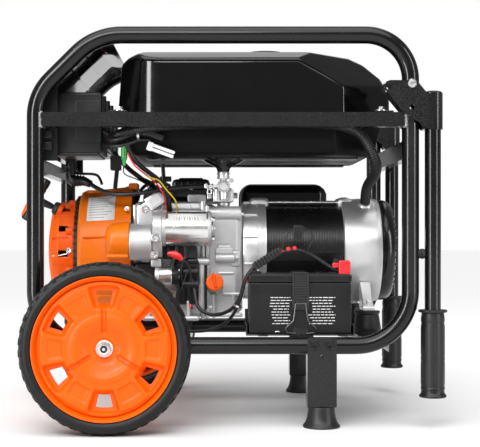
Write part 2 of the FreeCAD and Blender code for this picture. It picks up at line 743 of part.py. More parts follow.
def recoil_reel():
    """Rope drum with its winding groove and hub, turning on the cover's post."""
    across = (0, CRANK_Z)
    return lathe(
        "x", across,
        [(-320, POST_R + FIT), (-320, REEL_R), (-318, REEL_R), (-318, 44), (-304, 44),
         (-304, REEL_R), (-302, REEL_R), (-302, 18), (-290, 18), (-290, POST_R + FIT)],
    )


def recoil_grip():
    """T-shaped pull grip with a tapering neck and the first stretch of its rope."""
    half = LEAN * (GRIP_LENGTH / 2)
    barrel = bar(GRIP_CENTRE - half, GRIP_CENTRE + half, GRIP_R)
    neck = Part.makeCone(8.0, 5.0, 30.0, GRIP_CENTRE - PULL * 5, PULL * -1)
    rope = bar(GRIP_CENTRE - PULL * 33, GRIP_CENTRE - PULL * 55.5, ROPE_R)
    return fuse([barrel, neck, rope])


def blower_housing():
    """Tapered fan shroud over the flywheel with the starter pinion's bump on its front."""
    across = (0, CRANK_Z)
    shell = lathe(
        "x", across,
        [(-278, 84), (-278, 108), (-270, 114), (-169, 125), (-169, 121.8), (-269, 111),
         (-274.8, 106), (-274.8, 84)],
    )
    bump = rod("x", -213, -169, (STARTER_Y, PINION_Z), 33.0)
    bump_inside = rod("x", -210, -168, (STARTER_Y, PINION_Z), 30.0)
    core = lathe("x", across, [(-270, 0), (-270, 111), (-168, 121.8), (-168, 0)])
    skin = cut(fuse([shell, bump.cut(core)]), [bump_inside.cut(core)])
    return skin.cut(rod("x", -210, -168, (STARTER_Y + 14, PINION_Z), 22.0))


def crankcase():
    """Aluminium case with wall webs, a cylinder seat, a front oil boss and two mounting pads."""
    x0, x1 = CASE_X
    outer = soft_block((x0, x1), (-CASE_Y, CASE_Y), CASE_Z, 10.0)
    inner = block(
        (x0 + CASE_WALL, x1 + 1),
        (-CASE_Y + CASE_WALL, CASE_Y - CASE_WALL),
        (CASE_Z[0] + CASE_WALL, CASE_Z[1] - CASE_WALL),
    )
    face = block((x1 - 6, x1), (-CASE_Y, CASE_Y), CASE_Z)
    pads = [block((x0 + 20, x1 - 10), (s * 118 - 24, s * 118 + 24), (178.0, 188.0)) for s in (-1, 1)]
    boss = rod("x", x0, x0 + 14, (0, CRANK_Z), 30.0)
    seat = cylinder_bar(CASE_Y - 14, CASE_Y - 2, 60.0)
    bore = rod("x", x0 - 1, x0 + 16, (0, CRANK_Z), SHAFT_R + FIT)
    barrel_bore = cylinder_bar(60.0, CASE_Y + 30, 46.0)
    cam_bore = rod("x", x0 - 1, x0 + 12, (CAM_Y, CAM_Z), 6.0 + FIT)
    window = block((x1 - 8, x1 + 1), (-CASE_Y + 10, CASE_Y - 10), (CASE_Z[0] + 10, CASE_Z[1] - 10))
    stud_holes = [rod("z", 170, 200, (RAIL_X[0], side * 118.0), 4.5) for side in (-1, 1)]
    solid = fuse([outer, face] + pads)
    solid = fuse([solid.cut(inner), boss, seat.common(outer)])
    return cut(solid, [bore, barrel_bore, cam_bore, window] + stud_holes)


def cylinder_bar(start, stop, radius):
    """A round bar about the cylinder's axis, from one distance to another from the crankshaft."""
    tilt = math.radians(CYLINDER_TILT)
    way = V(0, math.cos(tilt), math.sin(tilt))
    base = V(CYLINDER_X, 0, CRANK_Z)
    return bar(base + way * start, base + way * stop, radius)


def cylinder_block(start, stop, half):
    """A square block about the cylinder's axis."""
    solid = block(
        (CYLINDER_X - half, CYLINDER_X + half), (start, stop), (CRANK_Z - half, CRANK_Z + half)
    )
    solid.rotate(V(CYLINDER_X, 0, CRANK_Z), V(1, 0, 0), CYLINDER_TILT)
    return solid


def cylinder():
    """Finned barrel, head and rocker cover leaning back from the crankcase."""
    barrel = cylinder_bar(CASE_Y + 16, 176.0, 50.0)
    fins = [cylinder_block(start, start + 3.0, 60.0) for start in range(120, 168, 8)]
    head = cylinder_block(168.0, 180.0, 56.0)
    bore = cylinder_bar(CASE_Y, 160.0, 44.0)
    cover = cylinder_block(180.0, 198.0, 42.0)
    cover = cover.makeFillet(6, [e for e in cover.Edges if e.CenterOfMass.y > cover.CenterOfMass.y + 6])
    solid = fuse([barrel, head, cover] + fins)
    case = block((CASE_X[0] - 5, CASE_X[1] + 5), (-CASE_Y, CASE_Y), CASE_Z)
    return cut(solid, [bore, case])


def crankcase_cover():
    """Side cover with the alternator's bearing bore and the oil filler neck."""
    x0, x1 = COVER_X
    outer = block((x0, x1), (-CASE_Y + 4, CASE_Y - 4), (CASE_Z[0] + 6, CASE_Z[1] - 10))
    outer = outer.makeChamfer(12, [e for e in outer.Edges if abs(e.CenterOfMass.x - x1) < 0.1])
    inner = block((x0 - 1, x1 - 8), (-CASE_Y + 12, CASE_Y - 12), (CASE_Z[0] + 14, CASE_Z[1] - 18))
    neck = bar(OIL_MOUTH + OIL_AXIS * 30, OIL_MOUTH, 14.0)
    throat = bar(OIL_MOUTH + OIL_AXIS * 40, OIL_MOUTH - OIL_AXIS, 9.5)
    bore = rod("x", x0 - 1, x1 + 1, (0, CRANK_Z), SHAFT_R + FIT)
    cam_boss = rod("x", 18, x1 - 6, (CAM_Y, CAM_Z), 12.0)
    cam_bore = rod("x", 10, x1 - 8, (CAM_Y, CAM_Z), 6.0 + FIT)
    solid = fuse([outer.cut(inner), neck, cam_boss])
    return cut(solid, [throat, bore, cam_bore])


def oil_filler_cap():
    """Screw cap with a raised finger tab and a short dipstick stem."""
    seat = OIL_MOUTH - OIL_AXIS * 0.3
    cap = bar(seat, seat - OIL_AXIS * 7, 16.0)
    tab = Part.makeBox(5.0, 11.0, 24.0, V(-2.5, -11.0, -9.0))
    tab.rotate(V(0, 0, 0), V(0, 1, 0), -12)
    tab.translate(seat - OIL_AXIS * 5)
    stem = bar(seat, seat + OIL_AXIS * 24, 9.5 - FIT)
    return fuse([cap, tab, stem])


def crankshaft():
    """Main shaft with counterweight webs and the camshaft's drive gear."""
    shaft = rod("x", -262.0, 291.0, (0, CRANK_Z), SHAFT_R)
    webs = [rod("x", x, x + 14, (0, CRANK_Z), 44.0) for x in (-140.0, -100.0)]
    gear = toothed_wheel((0, CRANK_Z), CRANK_TEETH, CRANK_GEAR_TURN)
    return fuse([shaft, gear] + webs)


def toothed_wheel(across, teeth, turn):
    """A spur gear with plain straight-sided teeth; a tooth space lies at the given turn."""
    radius = GEAR_MODULE * teeth / 2
    blank = rod("x", GEAR_X[0], GEAR_X[1], across, radius + 1.2)
    slots = []
    slot_width = math.pi * GEAR_MODULE * 0.62
    for i in range(teeth):
        slot = block(
            (GEAR_X[0] - 1, GEAR_X[1] + 1),
            (across[0] - slot_width / 2, across[0] + slot_width / 2),
            (across[1] + radius - 2.2, across[1] + radius + 5),
        )
        slot.rotate(V(0, across[0], across[1]), V(1, 0, 0), turn + i * 360 / teeth)
        slots.append(slot)
    return cut(blank, slots)


def camshaft():
    """Cam gear with twice the crank gear's teeth, two lobes and its shaft."""
    across = (CAM_Y, CAM_Z)
    shaft = rod("x", CASE_X[0] + 1, 28.0, across, 6.0)
    gear = toothed_wheel(across, CAM_TEETH, CAM_GEAR_TURN)
    lobes = []
    for x, turn in ((-118.0, 0.0), (-82.0, 105.0)):
        lobe = fuse(
            [
                rod("x", x, x + 12, across, 11.0),
                rod("x", x, x + 12, (CAM_Y, CAM_Z + 6), 7.0),
            ]
        )
        lobe.rotate(V(0, CAM_Y, CAM_Z), V(1, 0, 0), turn)
        lobes.append(lobe)
    return fuse([shaft, gear] + lobes)


def flywheel():
    """Iron flywheel with a ring of fan vanes on its outer face."""
    across = (0, CRANK_Z)
    body = ring("x", -236.0, -206.0, across, 98.0, SHAFT_R)
    vanes = []
    for turn in range(0, 360, 20):
        vane = block((-252, -236), (-1.6, 1.6), (CRANK_Z + 56, CRANK_Z + 92))
        vane.rotate(V(0, 0, CRANK_Z), V(1, 0, 0), turn)
        vanes.append(vane)
    return fuse([body] + vanes)


def rotor():
    """Two-pole rotor and the cooling fan behind it, pressed on the crankshaft."""
    across = (0, CRANK_Z)
    core = ring("x", 96.0, 214.0, across, 62.0, SHAFT_R)
    flats = [
        block((90, 220), (side * 58 - 8, side * 58 + 8), (CRANK_Z - 18, CRANK_Z + 18))
        for side in (-1, 1)
    ]
    hub = ring("x", 214.0, 236.0, across, 24.0, SHAFT_R)
    fan = ring("x", 236.0, 240.0, across, 74.0, SHAFT_R)
    return fuse([core.cut(fuse(flats)), hub, fan])


def muffler():
    """Pressed steel silencer box, its guard panel and the pipe from the cylinder head."""
    shell = soft_block((38, 217), (112, 206), (318, 439), 26.0)
    hollow = soft_block((40, 215), (114, 204), (320, 437), 24.0)
    outlet = rod("x", 200, 226, (178, 350), 11.0)
    outlet_bore = rod("x", 195, 230, (178, 350), 9.0)
    pipe = rod("x", CYLINDER_X + 61, 42, (160, 366), 14.0)
    pipe_bore = rod("x", CYLINDER_X + 60, 44, (160, 366), 12.0)
    return cut(fuse([shell, outlet, pipe]), [hollow, outlet_bore, pipe_bore])


def air_cleaner():
    """Round-cornered filter box on top of the crankcase, with its cover's rim."""
    base = soft_block((-98, -20), (-62, 50), (404, 428), 8.0)
    rim = soft_block((-100, -18), (-64, 52), (416, 421), 2.4)
    top = soft_block((-95, -23), (-59, 47), (422, 441), 8.0)
    post = rod("z", CASE_Z[1], 408, (-59, -6), 14.0)
    hollow = block((-93, -25), (-57, 45), (409, 434))
    return cut(fuse([base, rim, top, post]), [hollow])


def carburetor():
    """Carburettor body and bowl, its filter throat and the intake pipe back to the head."""
    body = soft_block((-14, 20), (-60, -16), (396, 424), 4.0)
    throat = rod("x", -17.6, -8, (-38, 412), 12.0)
    throat_bore = rod("x", -25, 4, (-38, 412), 9.0)
    bowl = rod("z", 388.4, 400, (3, -38), 12.0)
    plug = hexagon_plug(20, 30)
    pipe = rod("y", -20, 156, (3, 412), 10.0)
    branch = rod("x", CYLINDER_X + 56.4, 3, (145, 408), 10.0)
    bores = [rod("y", -38, 146, (3, 412), 7.5), rod("x", CYLINDER_X + 50, 3, (145, 408), 7.5)]
    return cut(fuse([body, throat, bowl, plug, pipe, branch]), [throat_bore] + bores)


def hexagon_plug(start, stop):
    """Six-sided plug on the carburettor's right face."""
    solid = hexagon("z", start, stop, (0, 0), 11.0)
    solid.rotate(V(0, 0, 0), V(0, 1, 0), 90)
    solid.translate(V(0, -38, 410))
    return solid


def choke_lever():
    """Bent lever on the carburettor's front."""
    across = (CHOKE_X, CHOKE_Z)
    boss = rod("y", -68, -60.4, across, 6.0)
    arm = block((CHOKE_X - 2.5, CHOKE_X + 2.5), (-68, -65), (CHOKE_Z - 2, CHOKE_Z + 24))
    knob = block((CHOKE_X - 5, CHOKE_X + 5), (-74, -63), (CHOKE_Z + 22, CHOKE_Z + 30))
    return fuse([boss, arm, knob])


def starter_motor():
    """Electric starter: drive nose, reduction flange, motor can and end bolts."""
    nose = rod("x", -168.5, -124, (STARTER_Y, PINION_Z), 30.0)
    flange = fuse(
        [
            rod("x", -124, -109, (STARTER_Y, PINION_Z), 24.0),
            rod("x", -124, -109, (STARTER_Y, STARTER_Z), 34.0),
        ]
    )
    can = rod("x", -109, -20, (STARTER_Y, STARTER_Z), 32.0)
    can = can.makeFillet(4, [e for e in can.Edges if abs(e.CenterOfMass.x + 20) < 0.1])
    bolts = [
        rod("x", -20.5, -13, (STARTER_Y + side * 18, STARTER_Z - side * 17), 4.5)
        for side in (-1, 1)
    ]
    return fuse([nose, flange, can] + bolts)


def starter_relay():
    """Solenoid switch under the starter, with its two terminal posts."""
    across = (-127.0, 260.0)
    can = rod("x", -121, -92, across, 17.5)
    cap = rod("x", -92, -80, across, 16.0)
    posts = [rod("x", -80, -70, (y, z), 3.0) for y, z in ((-131, 269), (-121, 257))]
    foot = block((-118, -96), (-112, -CASE_Y), (250, 270))
    return fuse([can, cap, foot] + posts)


def voltage_regulator():
    """Tilted rectifier block on the upper front of the crankcase."""
    body = block((-141, -107), (-118, -CASE_Y), (386, 412))
    ear = rod("y", -108, -CASE_Y, (-141, 399), 10.0)
    whole = fuse([body, ear])
    whole.rotate(V(-124, 0, 399), V(0, 1, 0), -35)
    return whole


# --- alternator ---
def alternator_front_housing():
    """Adapter between crankcase and stator, with four ears for the tie rods."""
    across = (0, CRANK_Z)
    shell = lathe(
        "x", across,
        [(38, 17), (38, 84), (46, 92), (60, 95), (83, 95), (83, 80), (60, 78), (46, 30), (46, 17)],
    )
    ears = [rod("x", 60.0, 83.0, place, 9.0) for place in tie_places()]
    holes = [rod("x", 60.0, 84.0, place, TIE_R) for place in tie_places()]
    return cut(fuse([shell] + ears), holes)


def tie_places():
    return [(TIE_Y * sy, CRANK_Z + TIE_RISE * sz) for sy in (-1, 1) for sz in (-1, 1)]


def stator():
    """Laminated stator ring with its copper end turns, held between the two housings."""
    across = (0, CRANK_Z)
    laminations = ring("x", STATOR_X[0], STATOR_X[1], across, STATOR_R, 64.0)
    windings = [
        ring("x", 70.0, 83.0, across, 74.0, 65.0),
        ring("x", 228.0, 233.0, across, 78.0, 65.0),
    ]
    return fuse([laminations] + windings)


def alternator_rear_housing():
    """Aluminium bell that carries the rear bearing, with open spokes."""
    across = (0, CRANK_Z)
    x0, x1 = BELL_X
    wall = ring("x", x0, x1, across, BELL_R, 93.0)
    seat = ring("x", x0, x0 + 6, across, BELL_R, 84.0)
    spider = ring("x", x1 - 12, x1 - 4, across, 94.0, SHAFT_R + FIT)
    vents = []
    for turn in range(0, 360, 45):
        vent = block((x1 - 14, x1), (-11, 11), (CRANK_Z + 42, CRANK_Z + 84))
        vent.rotate(V(0, 0, CRANK_Z), V(1, 0, 0), turn)
        vents.append(vent)
    feet = [block((255, 279), (s * 118 - 22, s * 118 + 22), (196, 204)) for s in (-1, 1)]
    arms = [block((257, 277), (70, 110), (200, 240)), block((257, 277), (-110, -70), (200, 240))]
    hollow = rod("x", x0 - 1, x1 + 1, across, 94.0)
    holes = [rod("z", 190, 210, (RAIL_X[1], side * 118.0), 4.5) for side in (-1, 1)]
    holes += [rod("x", x0 - 1, x1, place, TIE_R) for place in tie_places()]
    holes += [rod("x", 239.0, x1 + 1, place, 7.0) for place in tie_places()]
    ears = [rod("x", x0, 239.0, place, 9.0) for place in tie_places()]
    inward = (CONDUIT[-1] - CONDUIT[-2]).normalize()
    gland = bar(CONDUIT[-1], CONDUIT[-1] + inward * 16, 12.0)
    legs = fuse(feet + arms + [gland]).cut(hollow)
    return cut(fuse([wall, seat, spider.cut(fuse(vents)), legs] + ears), holes)


def alternator_end_cover():
    """Black louvred cover over the brush gear."""
    shell = lathe(
        "x", (0, CRANK_Z),
        [(299, 92), (299, 97), (306, 97), (324, 88), (326, 80), (326, 0), (323.5, 0), (323.5, 79)],
    )
    slots = []
    for turn in range(0, 360, 20):
        slot = block((320, 330), (-3, 3), (CRANK_Z + 30, CRANK_Z + 70))
        slot.rotate(V(0, 0, CRANK_Z), V(1, 0, 0), turn)
        slots.append(slot)
    return cut(shell, slots)


def tie_rods():
    """Four long bolts that clamp the stator between the housings."""
    made = []
    for across in tie_places():
        shank = rod("x", 60.0, 239.0, across, TIE_R)
        head = rod("x", 239.0, 246.0, across, 6.5)
        made.append(fuse([shank, head]))
    return Part.makeCompound(made)


def rubber_mounts():
    """Bonded rubber mounts with studs through the rails and the feet above."""
    made = []
    for x, top, radius in ((RAIL_X[0], 178.0, 22.0), (RAIL_X[1], 196.0, 27.0)):
        for side in (-1, 1):
            across = (x, side * 118.0)
            rubber = lathe(
                "z", across,
                [(156, 0), (156, radius), (162, radius), (top - 8, radius - 5), (top, radius - 3),
                 (top, 0)],
            )
            stud = rod("z", 148.0, top + 16, across, 4.4)
            made.append(fuse([rubber, stud]))
    return Part.makeCompound(made)


# --- battery ---
def battery():
    """Sealed battery: case, stepped lid and two terminal posts."""
    case = soft_block(BATTERY_X, BATTERY_Y, (BATTERY_Z[0], 252.0), 3.0)
    lid = soft_block(
        (BATTERY_X[0] - 1, BATTERY_X[1] + 1), (BATTERY_Y[0] - 1, BATTERY_Y[1] + 1), (250, 265), 3.0
    )
    posts = [block((x - 8, x + 8), (-205, -191), (264, 276)) for x in (60.0, 213.0)]
    return fuse([case, lid] + posts)


def battery_tray():
    """Folded tray with a front hook for the strap and two arms out to the bottom tube."""
    x = (BATTERY_X[0] - 5, BATTERY_X[1] + 5)
    y = (BATTERY_Y[0] - 3, BATTERY_Y[1] + 3)
    floor = block(x, y, (157.5, 160.0))
    back = block(x, (y[1] - 2, y[1]), (157.5, 200.0))
    ends = [block(pair, y, (157.5, 176.0)) for pair in ((x[0], x[0] + 2), (x[1] - 2, x[1]))]
    hook = block((124, 150), (y[0], y[0] + 2), (157.5, 172.0))
    arms = [block((at - 9, at + 9), (y[0] - 14, y[0] + 4), (157.5, 160.0)) for at in (70.0, 210.0)]
    return fuse([floor, back, hook] + ends + arms)


def battery_strap():
    """Rubber strap over the battery, hooked to the tray in front and at the back."""
    x = (124.0, 150.0)
    y0, y1 = BATTERY_Y[0] - 1, BATTERY_Y[1] + 1
    front = block(x, (y0 - 4, y0), (182.0, 269.0))
    top = block(x, (y0 - 4, y1 + 4), (265.0, 269.0))
    back = block(x, (y1, y1 + 4), (200.0, 269.0))
    return fuse([front, top, back])


# --- everything together ---
def make_all():
    front = {
        "front_frame_loop": frame_loop(),
        "front_leg": leg(),
        "front_axle_bracket": axle_bracket(),
        "front_wheel_rim": wheel_rim(),
        "front_tyre": tyre(),
        "front_handle": handle(),
        "front_handle_grip": handle_grip(),
    }
    nodes = dict(front)
    for name, shape in front.items():
        nodes[name.replace("front_", "rear_")] = mirrored(shape)
    makers = (
        crossbars, mount_rails, feet, frame_bolts, axle_nuts, handle_bumpers,
        fuel_tank, fuel_cap, fuel_valve, fuel_valve_lever,
        control_panel, control_box, outlet_sockets, engine_switch, breaker_button,
        recoil_cover, recoil_reel, recoil_grip, blower_housing,
        crankcase, crankcase_cover, cylinder, oil_filler_cap,
        crankshaft, camshaft, flywheel, rotor, muffler, air_cleaner, carburetor, choke_lever,
        starter_motor, starter_relay, voltage_regulator,
        alternator_front_housing, stator, alternator_rear_housing, alternator_end_cover,
        tie_rods, rubber_mounts, battery, battery_tray, battery_strap,
    )
    for make in makers:
        nodes[make.__name__] = make()
    nodes["fuel_hose"] = cord("fuel_hose", FUEL_HOSE, 8.0)
    nodes["wiring_conduit"] = cord("wiring_conduit", CONDUIT, 20.0)
    nodes["battery_lead"] = cord("battery_lead", BATTERY_LEAD, 6.5)
    return nodes


os.makedirs("parts", exist_ok=True)
for node_name, node_shape in make_all().items():
    node_shape.translate(V(-BOX_CENTRE_X, 0, 0))
    node_shape.exportStep(f"parts/{node_name}.step")
    solids = len(node_shape.Solids)
    box = node_shape.BoundBox
    print(
        f"{node_name}: {solids} solids, valid {node_shape.isValid()}, "
        f"x {box.XMin:.1f} {box.XMax:.1f} y {box.YMin:.1f} {box.YMax:.1f} z {box.ZMin:.1f} {box.ZMax:.1f}"
    )
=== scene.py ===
import json
import math
import random

import bmesh
import bpy
from mathutils import Matrix, Vector


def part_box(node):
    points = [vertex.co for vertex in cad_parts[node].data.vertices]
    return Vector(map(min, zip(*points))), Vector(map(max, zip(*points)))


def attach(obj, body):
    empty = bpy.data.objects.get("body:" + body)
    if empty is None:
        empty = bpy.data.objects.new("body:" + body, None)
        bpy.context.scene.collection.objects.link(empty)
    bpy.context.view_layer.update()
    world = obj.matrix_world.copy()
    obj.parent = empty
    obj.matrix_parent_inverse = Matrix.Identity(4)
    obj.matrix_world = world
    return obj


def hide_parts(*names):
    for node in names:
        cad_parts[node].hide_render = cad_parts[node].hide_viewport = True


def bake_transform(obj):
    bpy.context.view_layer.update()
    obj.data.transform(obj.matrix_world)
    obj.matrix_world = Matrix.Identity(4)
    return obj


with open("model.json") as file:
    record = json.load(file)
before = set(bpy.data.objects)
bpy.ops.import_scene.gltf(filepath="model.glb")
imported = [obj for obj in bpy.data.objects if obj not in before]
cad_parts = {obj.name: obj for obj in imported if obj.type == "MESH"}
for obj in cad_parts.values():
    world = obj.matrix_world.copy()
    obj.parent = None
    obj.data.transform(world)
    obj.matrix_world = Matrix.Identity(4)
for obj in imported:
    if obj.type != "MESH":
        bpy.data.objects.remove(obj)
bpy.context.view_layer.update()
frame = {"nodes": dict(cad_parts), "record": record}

# Pieces are drawn in millimetres about the middle of the tube frame and placed in metres.
MM = 0.001
loop_low, loop_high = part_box("front_frame_loop")
MID_X = (loop_low.x + loop_high.x) / 2
TO_FRAME = Matrix.Translation((MID_X, 0, 0)) @ Matrix.Scale(MM, 4)
SIDES = (-1, 1)  # the battery side and the exhaust side

LOOP_X = (loop_high.x - loop_low.x) / 2 / MM - 15.0
LOOP_Y = 235.0
RUNG_Z = (523.0, 548.0)
LEG_X = 171.6
HANDLE_X = 366.0
WHEEL_X = -198.5
WHEEL_Z = 145.0
WHEEL_HUB = (WHEEL_X, 0, WHEEL_Z)
WHEEL_FACE = 346.0  # outer face of a tyre, from the middle
MOUNT_X = (-85, 267)  # rubber blocks under the engine and under the alternator
MOUNT_Y = 118

CRANK_Z = 306.0
CRANK = (0, 0, CRANK_Z)
STARTER_Y = -134.0
PINION_Z = 322
MOTOR_Z = 346
MOTOR = (0, STARTER_Y, MOTOR_Z)
SOLENOID = (0, -127, 260)
TIE_PLACES = [(25.0 * across, CRANK_Z + 92.0 * up) for across in SIDES for up in (-1, 1)]
OIL_NECK = Vector((-14, -124, 247))
OIL_NECK_IN = Vector((0, 1, -0.25)).normalized()
COVER_BOLTS = [(y * 0.985, z * 0.995) for y, z in (
    (-93, 200), (-93, 350), (-60, 385), (0, 389), (60, 385), (93, 350), (93, 200), (0, 184))]

TANK_HALF = 205.0
SEAM_Z = 550.0
TANK_CAP_X = 84
VALVE_X = 2
VALVE_Y = -100
VALVE_Z = 425
STRAP_X = 137

OUTLETS_Y = (-60, 10, 80)
OUTLET_Z = 530
GAUGE = (0, -160, 505)
BREAKER = (0, 150, 530)

# The starter grip: its middle, the way the rope comes out, and the way its bar leans.
GRIP_CENTRE = Vector((-353, -50, 402))
PULL = Vector((-0.917, 0, 0.399)).normalized()
LEAN = Vector((0.485, 0, 0.875)).normalized()
ROPE_MOUTH = GRIP_CENTRE - PULL * 44.5


def at(x, y, z):
    """A place in metres from millimetres about the middle of the tube frame."""
    return TO_FRAME @ Vector((x, y, z))


# --- camera, floor and light ---
def make_camera():
    """Level, in front of the battery side, a little left of the middle."""
    camera = bpy.data.cameras.new("camera")
    camera.lens = 88.6
    camera.sensor_width = 36.0
    camera.shift_x = 0.0583
    camera.shift_y = 0.026
    camera.clip_end = 60.0
    holder = bpy.data.objects.new("camera", camera)
    bpy.context.scene.collection.objects.link(holder)
    holder.location = at(-19, -2295, 333)
    holder.rotation_euler = (math.radians(90), 0, 0)
    bpy.context.scene.camera = holder


def area_light(name, place, target, size, power, only_shine=False):
    """A rectangle of light aimed at a target, all in metres; only_shine keeps it to reflections."""
    light = bpy.data.lights.new(name, "AREA")
    light.shape = "RECTANGLE"
    light.size, light.size_y = size
    light.energy = power
    holder = bpy.data.objects.new(name, light)
    bpy.context.scene.collection.objects.link(holder)
    holder.location = place
    holder.rotation_euler = (Vector(target) - Vector(place)).to_track_quat("-Z", "Y").to_euler()
    holder.visible_diffuse = not only_shine


def make_world():
    """White where the camera sees it, and a dimmer room that lights the object."""
    world = bpy.data.worlds.new("studio")
    world.use_nodes = True
    bpy.context.scene.world = world
    tree = world.node_tree
    backdrop = tree.nodes["Background"]
    room = tree.nodes.new("ShaderNodeBackground")
    for light, strength in ((backdrop, 1.0), (room, 0.3)):
        light.inputs["Color"].default_value = (1.0, 1.0, 1.0, 1.0)
        light.inputs["Strength"].default_value = strength
    blend = tree.nodes.new("ShaderNodeMixShader")
    seen = tree.nodes.new("ShaderNodeLightPath").outputs["Is Camera Ray"]
    for source, socket in zip((seen, room.outputs[0], backdrop.outputs[0]), blend.inputs):
        tree.links.new(source, socket)
    tree.links.new(blend.outputs[0], tree.nodes["World Output"].inputs["Surface"])


def make_lights():
    """A broad soft key from above and in front, two strips for highlights only, and two fills."""
    sky = bpy.data.lights.new("sky", "SUN")
    sky.energy = 2.9
    sky.angle = math.radians(70)
    holder = bpy.data.objects.new("sky", sky)
    holder.rotation_euler = (math.radians(28), 0, math.radians(-12))
    bpy.context.scene.collection.objects.link(holder)
    area_light("left_strip", (-1.5, -1.9, 0.9), (0, 0, 0.35), (0.4, 2.0), 52, only_shine=True)
    area_light("right_strip", (1.9, -1.5, 0.9), (0, 0, 0.35), (0.3, 2.0), 26, only_shine=True)
    area_light("front", (-0.6, -2.6, 2.0), (0, 0, 0.3), (1.6, 0.8), 30)
    area_light("back", (0.1, 1.7, 2.6), (0, 0, 0.4), (2.6, 1.2), 13)


def make_floor():
    """A wide plain floor."""
    half = 25.0
    mesh = bpy.data.meshes.new("floor")
    mesh.from_pydata(
        [(-half, -half, 0), (half, -half, 0), (half, half, 0), (-half, half, 0)], [], [(0, 1, 2, 3)]
    )
    paint = bpy.data.materials.new("floor")
    paint.use_nodes = True
    shader = paint.node_tree.nodes["Principled BSDF"]
    shader.inputs["Base Color"].default_value = (0.93, 0.93, 0.93, 1)
    shader.inputs["Roughness"].default_value = 0.55
    mesh.materials.append(paint)
    floor = bpy.data.objects.new("floor", mesh)
    bpy.context.scene.collection.objects.link(floor)


make_camera()
make_world()
make_lights()
make_floor()
bpy.context.scene.view_settings.view_transform = "Standard"
bpy.context.scene.view_settings.look = "None"


# --- materials ---
def link(tree, source, socket):
    """Joins two sockets of a shader."""
    tree.links.new(source, socket)


def product(tree, first, second):
    """Two values multiplied."""
    node = tree.nodes.new("ShaderNodeMath")
    node.operation = "MULTIPLY"
    link(tree, first, node.inputs[0])
    link(tree, second, node.inputs[1])
    return node.outputs[0]


def noise(tree, coords, scale, detail, stretch=(1, 1, 1)):
    """Noise over the piece's own coordinates, in metres."""
    mapping = tree.nodes.new("ShaderNodeMapping")
    mapping.inputs["Scale"].default_value = stretch
    link(tree, coords, mapping.inputs["Vector"])
    texture = tree.nodes.new("ShaderNodeTexNoise")
    texture.inputs["Scale"].default_value = scale
    texture.inputs["Detail"].default_value = detail
    link(tree, mapping.outputs["Vector"], texture.inputs["Vector"])
    return texture.outputs["Fac"]


def spread(tree, value, low, high, from_low=0.3, from_high=0.7):
    """Maps the middle of a noise onto low..high."""
    node = tree.nodes.new("ShaderNodeMapRange")
    node.inputs["From Min"].default_value = from_low
    node.inputs["From Max"].default_value = from_high
    node.inputs["To Min"].default_value = low
    node.inputs["To Max"].default_value = high
    link(tree, value, node.inputs["Value"])
    return node.outputs["Result"]


def mixed(tree, factor, first, second):
    """Colour between two: each is a colour tuple or a socket."""
    node = tree.nodes.new("ShaderNodeMix")
    node.data_type = "RGBA"
    link(tree, factor, node.inputs[0])
    for source, socket in ((first, node.inputs[6]), (second, node.inputs[7])):
        if isinstance(source, tuple):
            socket.default_value = (*source, 1)
        else:
            link(tree, source, socket)
    return node.outputs[2]


STEEL_SCRATCH = (0.32, 0.32, 0.33)
DUST_COLOUR = (0.45, 0.44, 0.42)


def finish_of(
    name, colour, roughness, metallic=0.0, coat=0.0, tone=0.12, grain=600.0, bump=0.02,
    grain_stretch=(1, 1, 1), blotch=25.0, wear=None, wear_share=0.0, dust=0.0, uneven=0.08,
    shine=0.5,
):
    """A surface with broad tone changes, fine grain, uneven gloss, worn edges and light dust."""
    made = bpy.data.materials.new(name)
    made.use_nodes = True
    tree = made.node_tree
    shader = tree.nodes["Principled BSDF"]
    coords = tree.nodes.new("ShaderNodeTexCoord").outputs["Object"]
    broad = noise(tree, coords, blotch, 5.0)
    fine = noise(tree, coords, grain, 3.0, grain_stretch)
    darker = tuple(c * (1 - tone) for c in colour)
    lighter = tuple(min(1.0, c * (1 + tone)) for c in colour)
    shade = mixed(tree, spread(tree, broad, 0, 1), darker, lighter)
    if wear:
        edge = tree.nodes.new("ShaderNodeNewGeometry").outputs["Pointiness"]
        ragged = product(
            tree, spread(tree, edge, 0, 1, 0.53, 0.6), spread(tree, fine, 0, wear_share, 0.4, 0.62)
        )
        shade = mixed(tree, ragged, shade, wear)
    if dust:
        normal = tree.nodes.new("ShaderNodeNewGeometry").outputs["Normal"]
        split = tree.nodes.new("ShaderNodeSeparateXYZ")
        link(tree, normal, split.inputs[0])
        settled = product(
            tree, spread(tree, split.outputs["Z"], 0, 1, 0.5, 1.0), spread(tree, broad, 0, dust)
        )
        shade = mixed(tree, settled, shade, DUST_COLOUR)
    link(tree, shade, shader.inputs["Base Color"])
    gloss = spread(tree, broad, roughness - uneven, roughness + uneven)
    link(tree, gloss, shader.inputs["Roughness"])
    shader.inputs["Metallic"].default_value = metallic
    shader.inputs["Specular IOR Level"].default_value = shine
    shader.inputs["Coat Weight"].default_value = coat
    shader.inputs["Coat Roughness"].default_value = 0.08
    relief = tree.nodes.new("ShaderNodeBump")
    relief.inputs["Strength"].default_value = 1.0
    relief.inputs["Distance"].default_value = bump * MM
    link(tree, fine, relief.inputs["Height"])
    link(tree, relief.outputs["Normal"], shader.inputs["Normal"])
    return made


FINISH = {}


def add_finish(name, *args, **settings):
    """Makes a finish and keeps it under its name."""
    FINISH[name] = finish_of(name, *args, **settings)


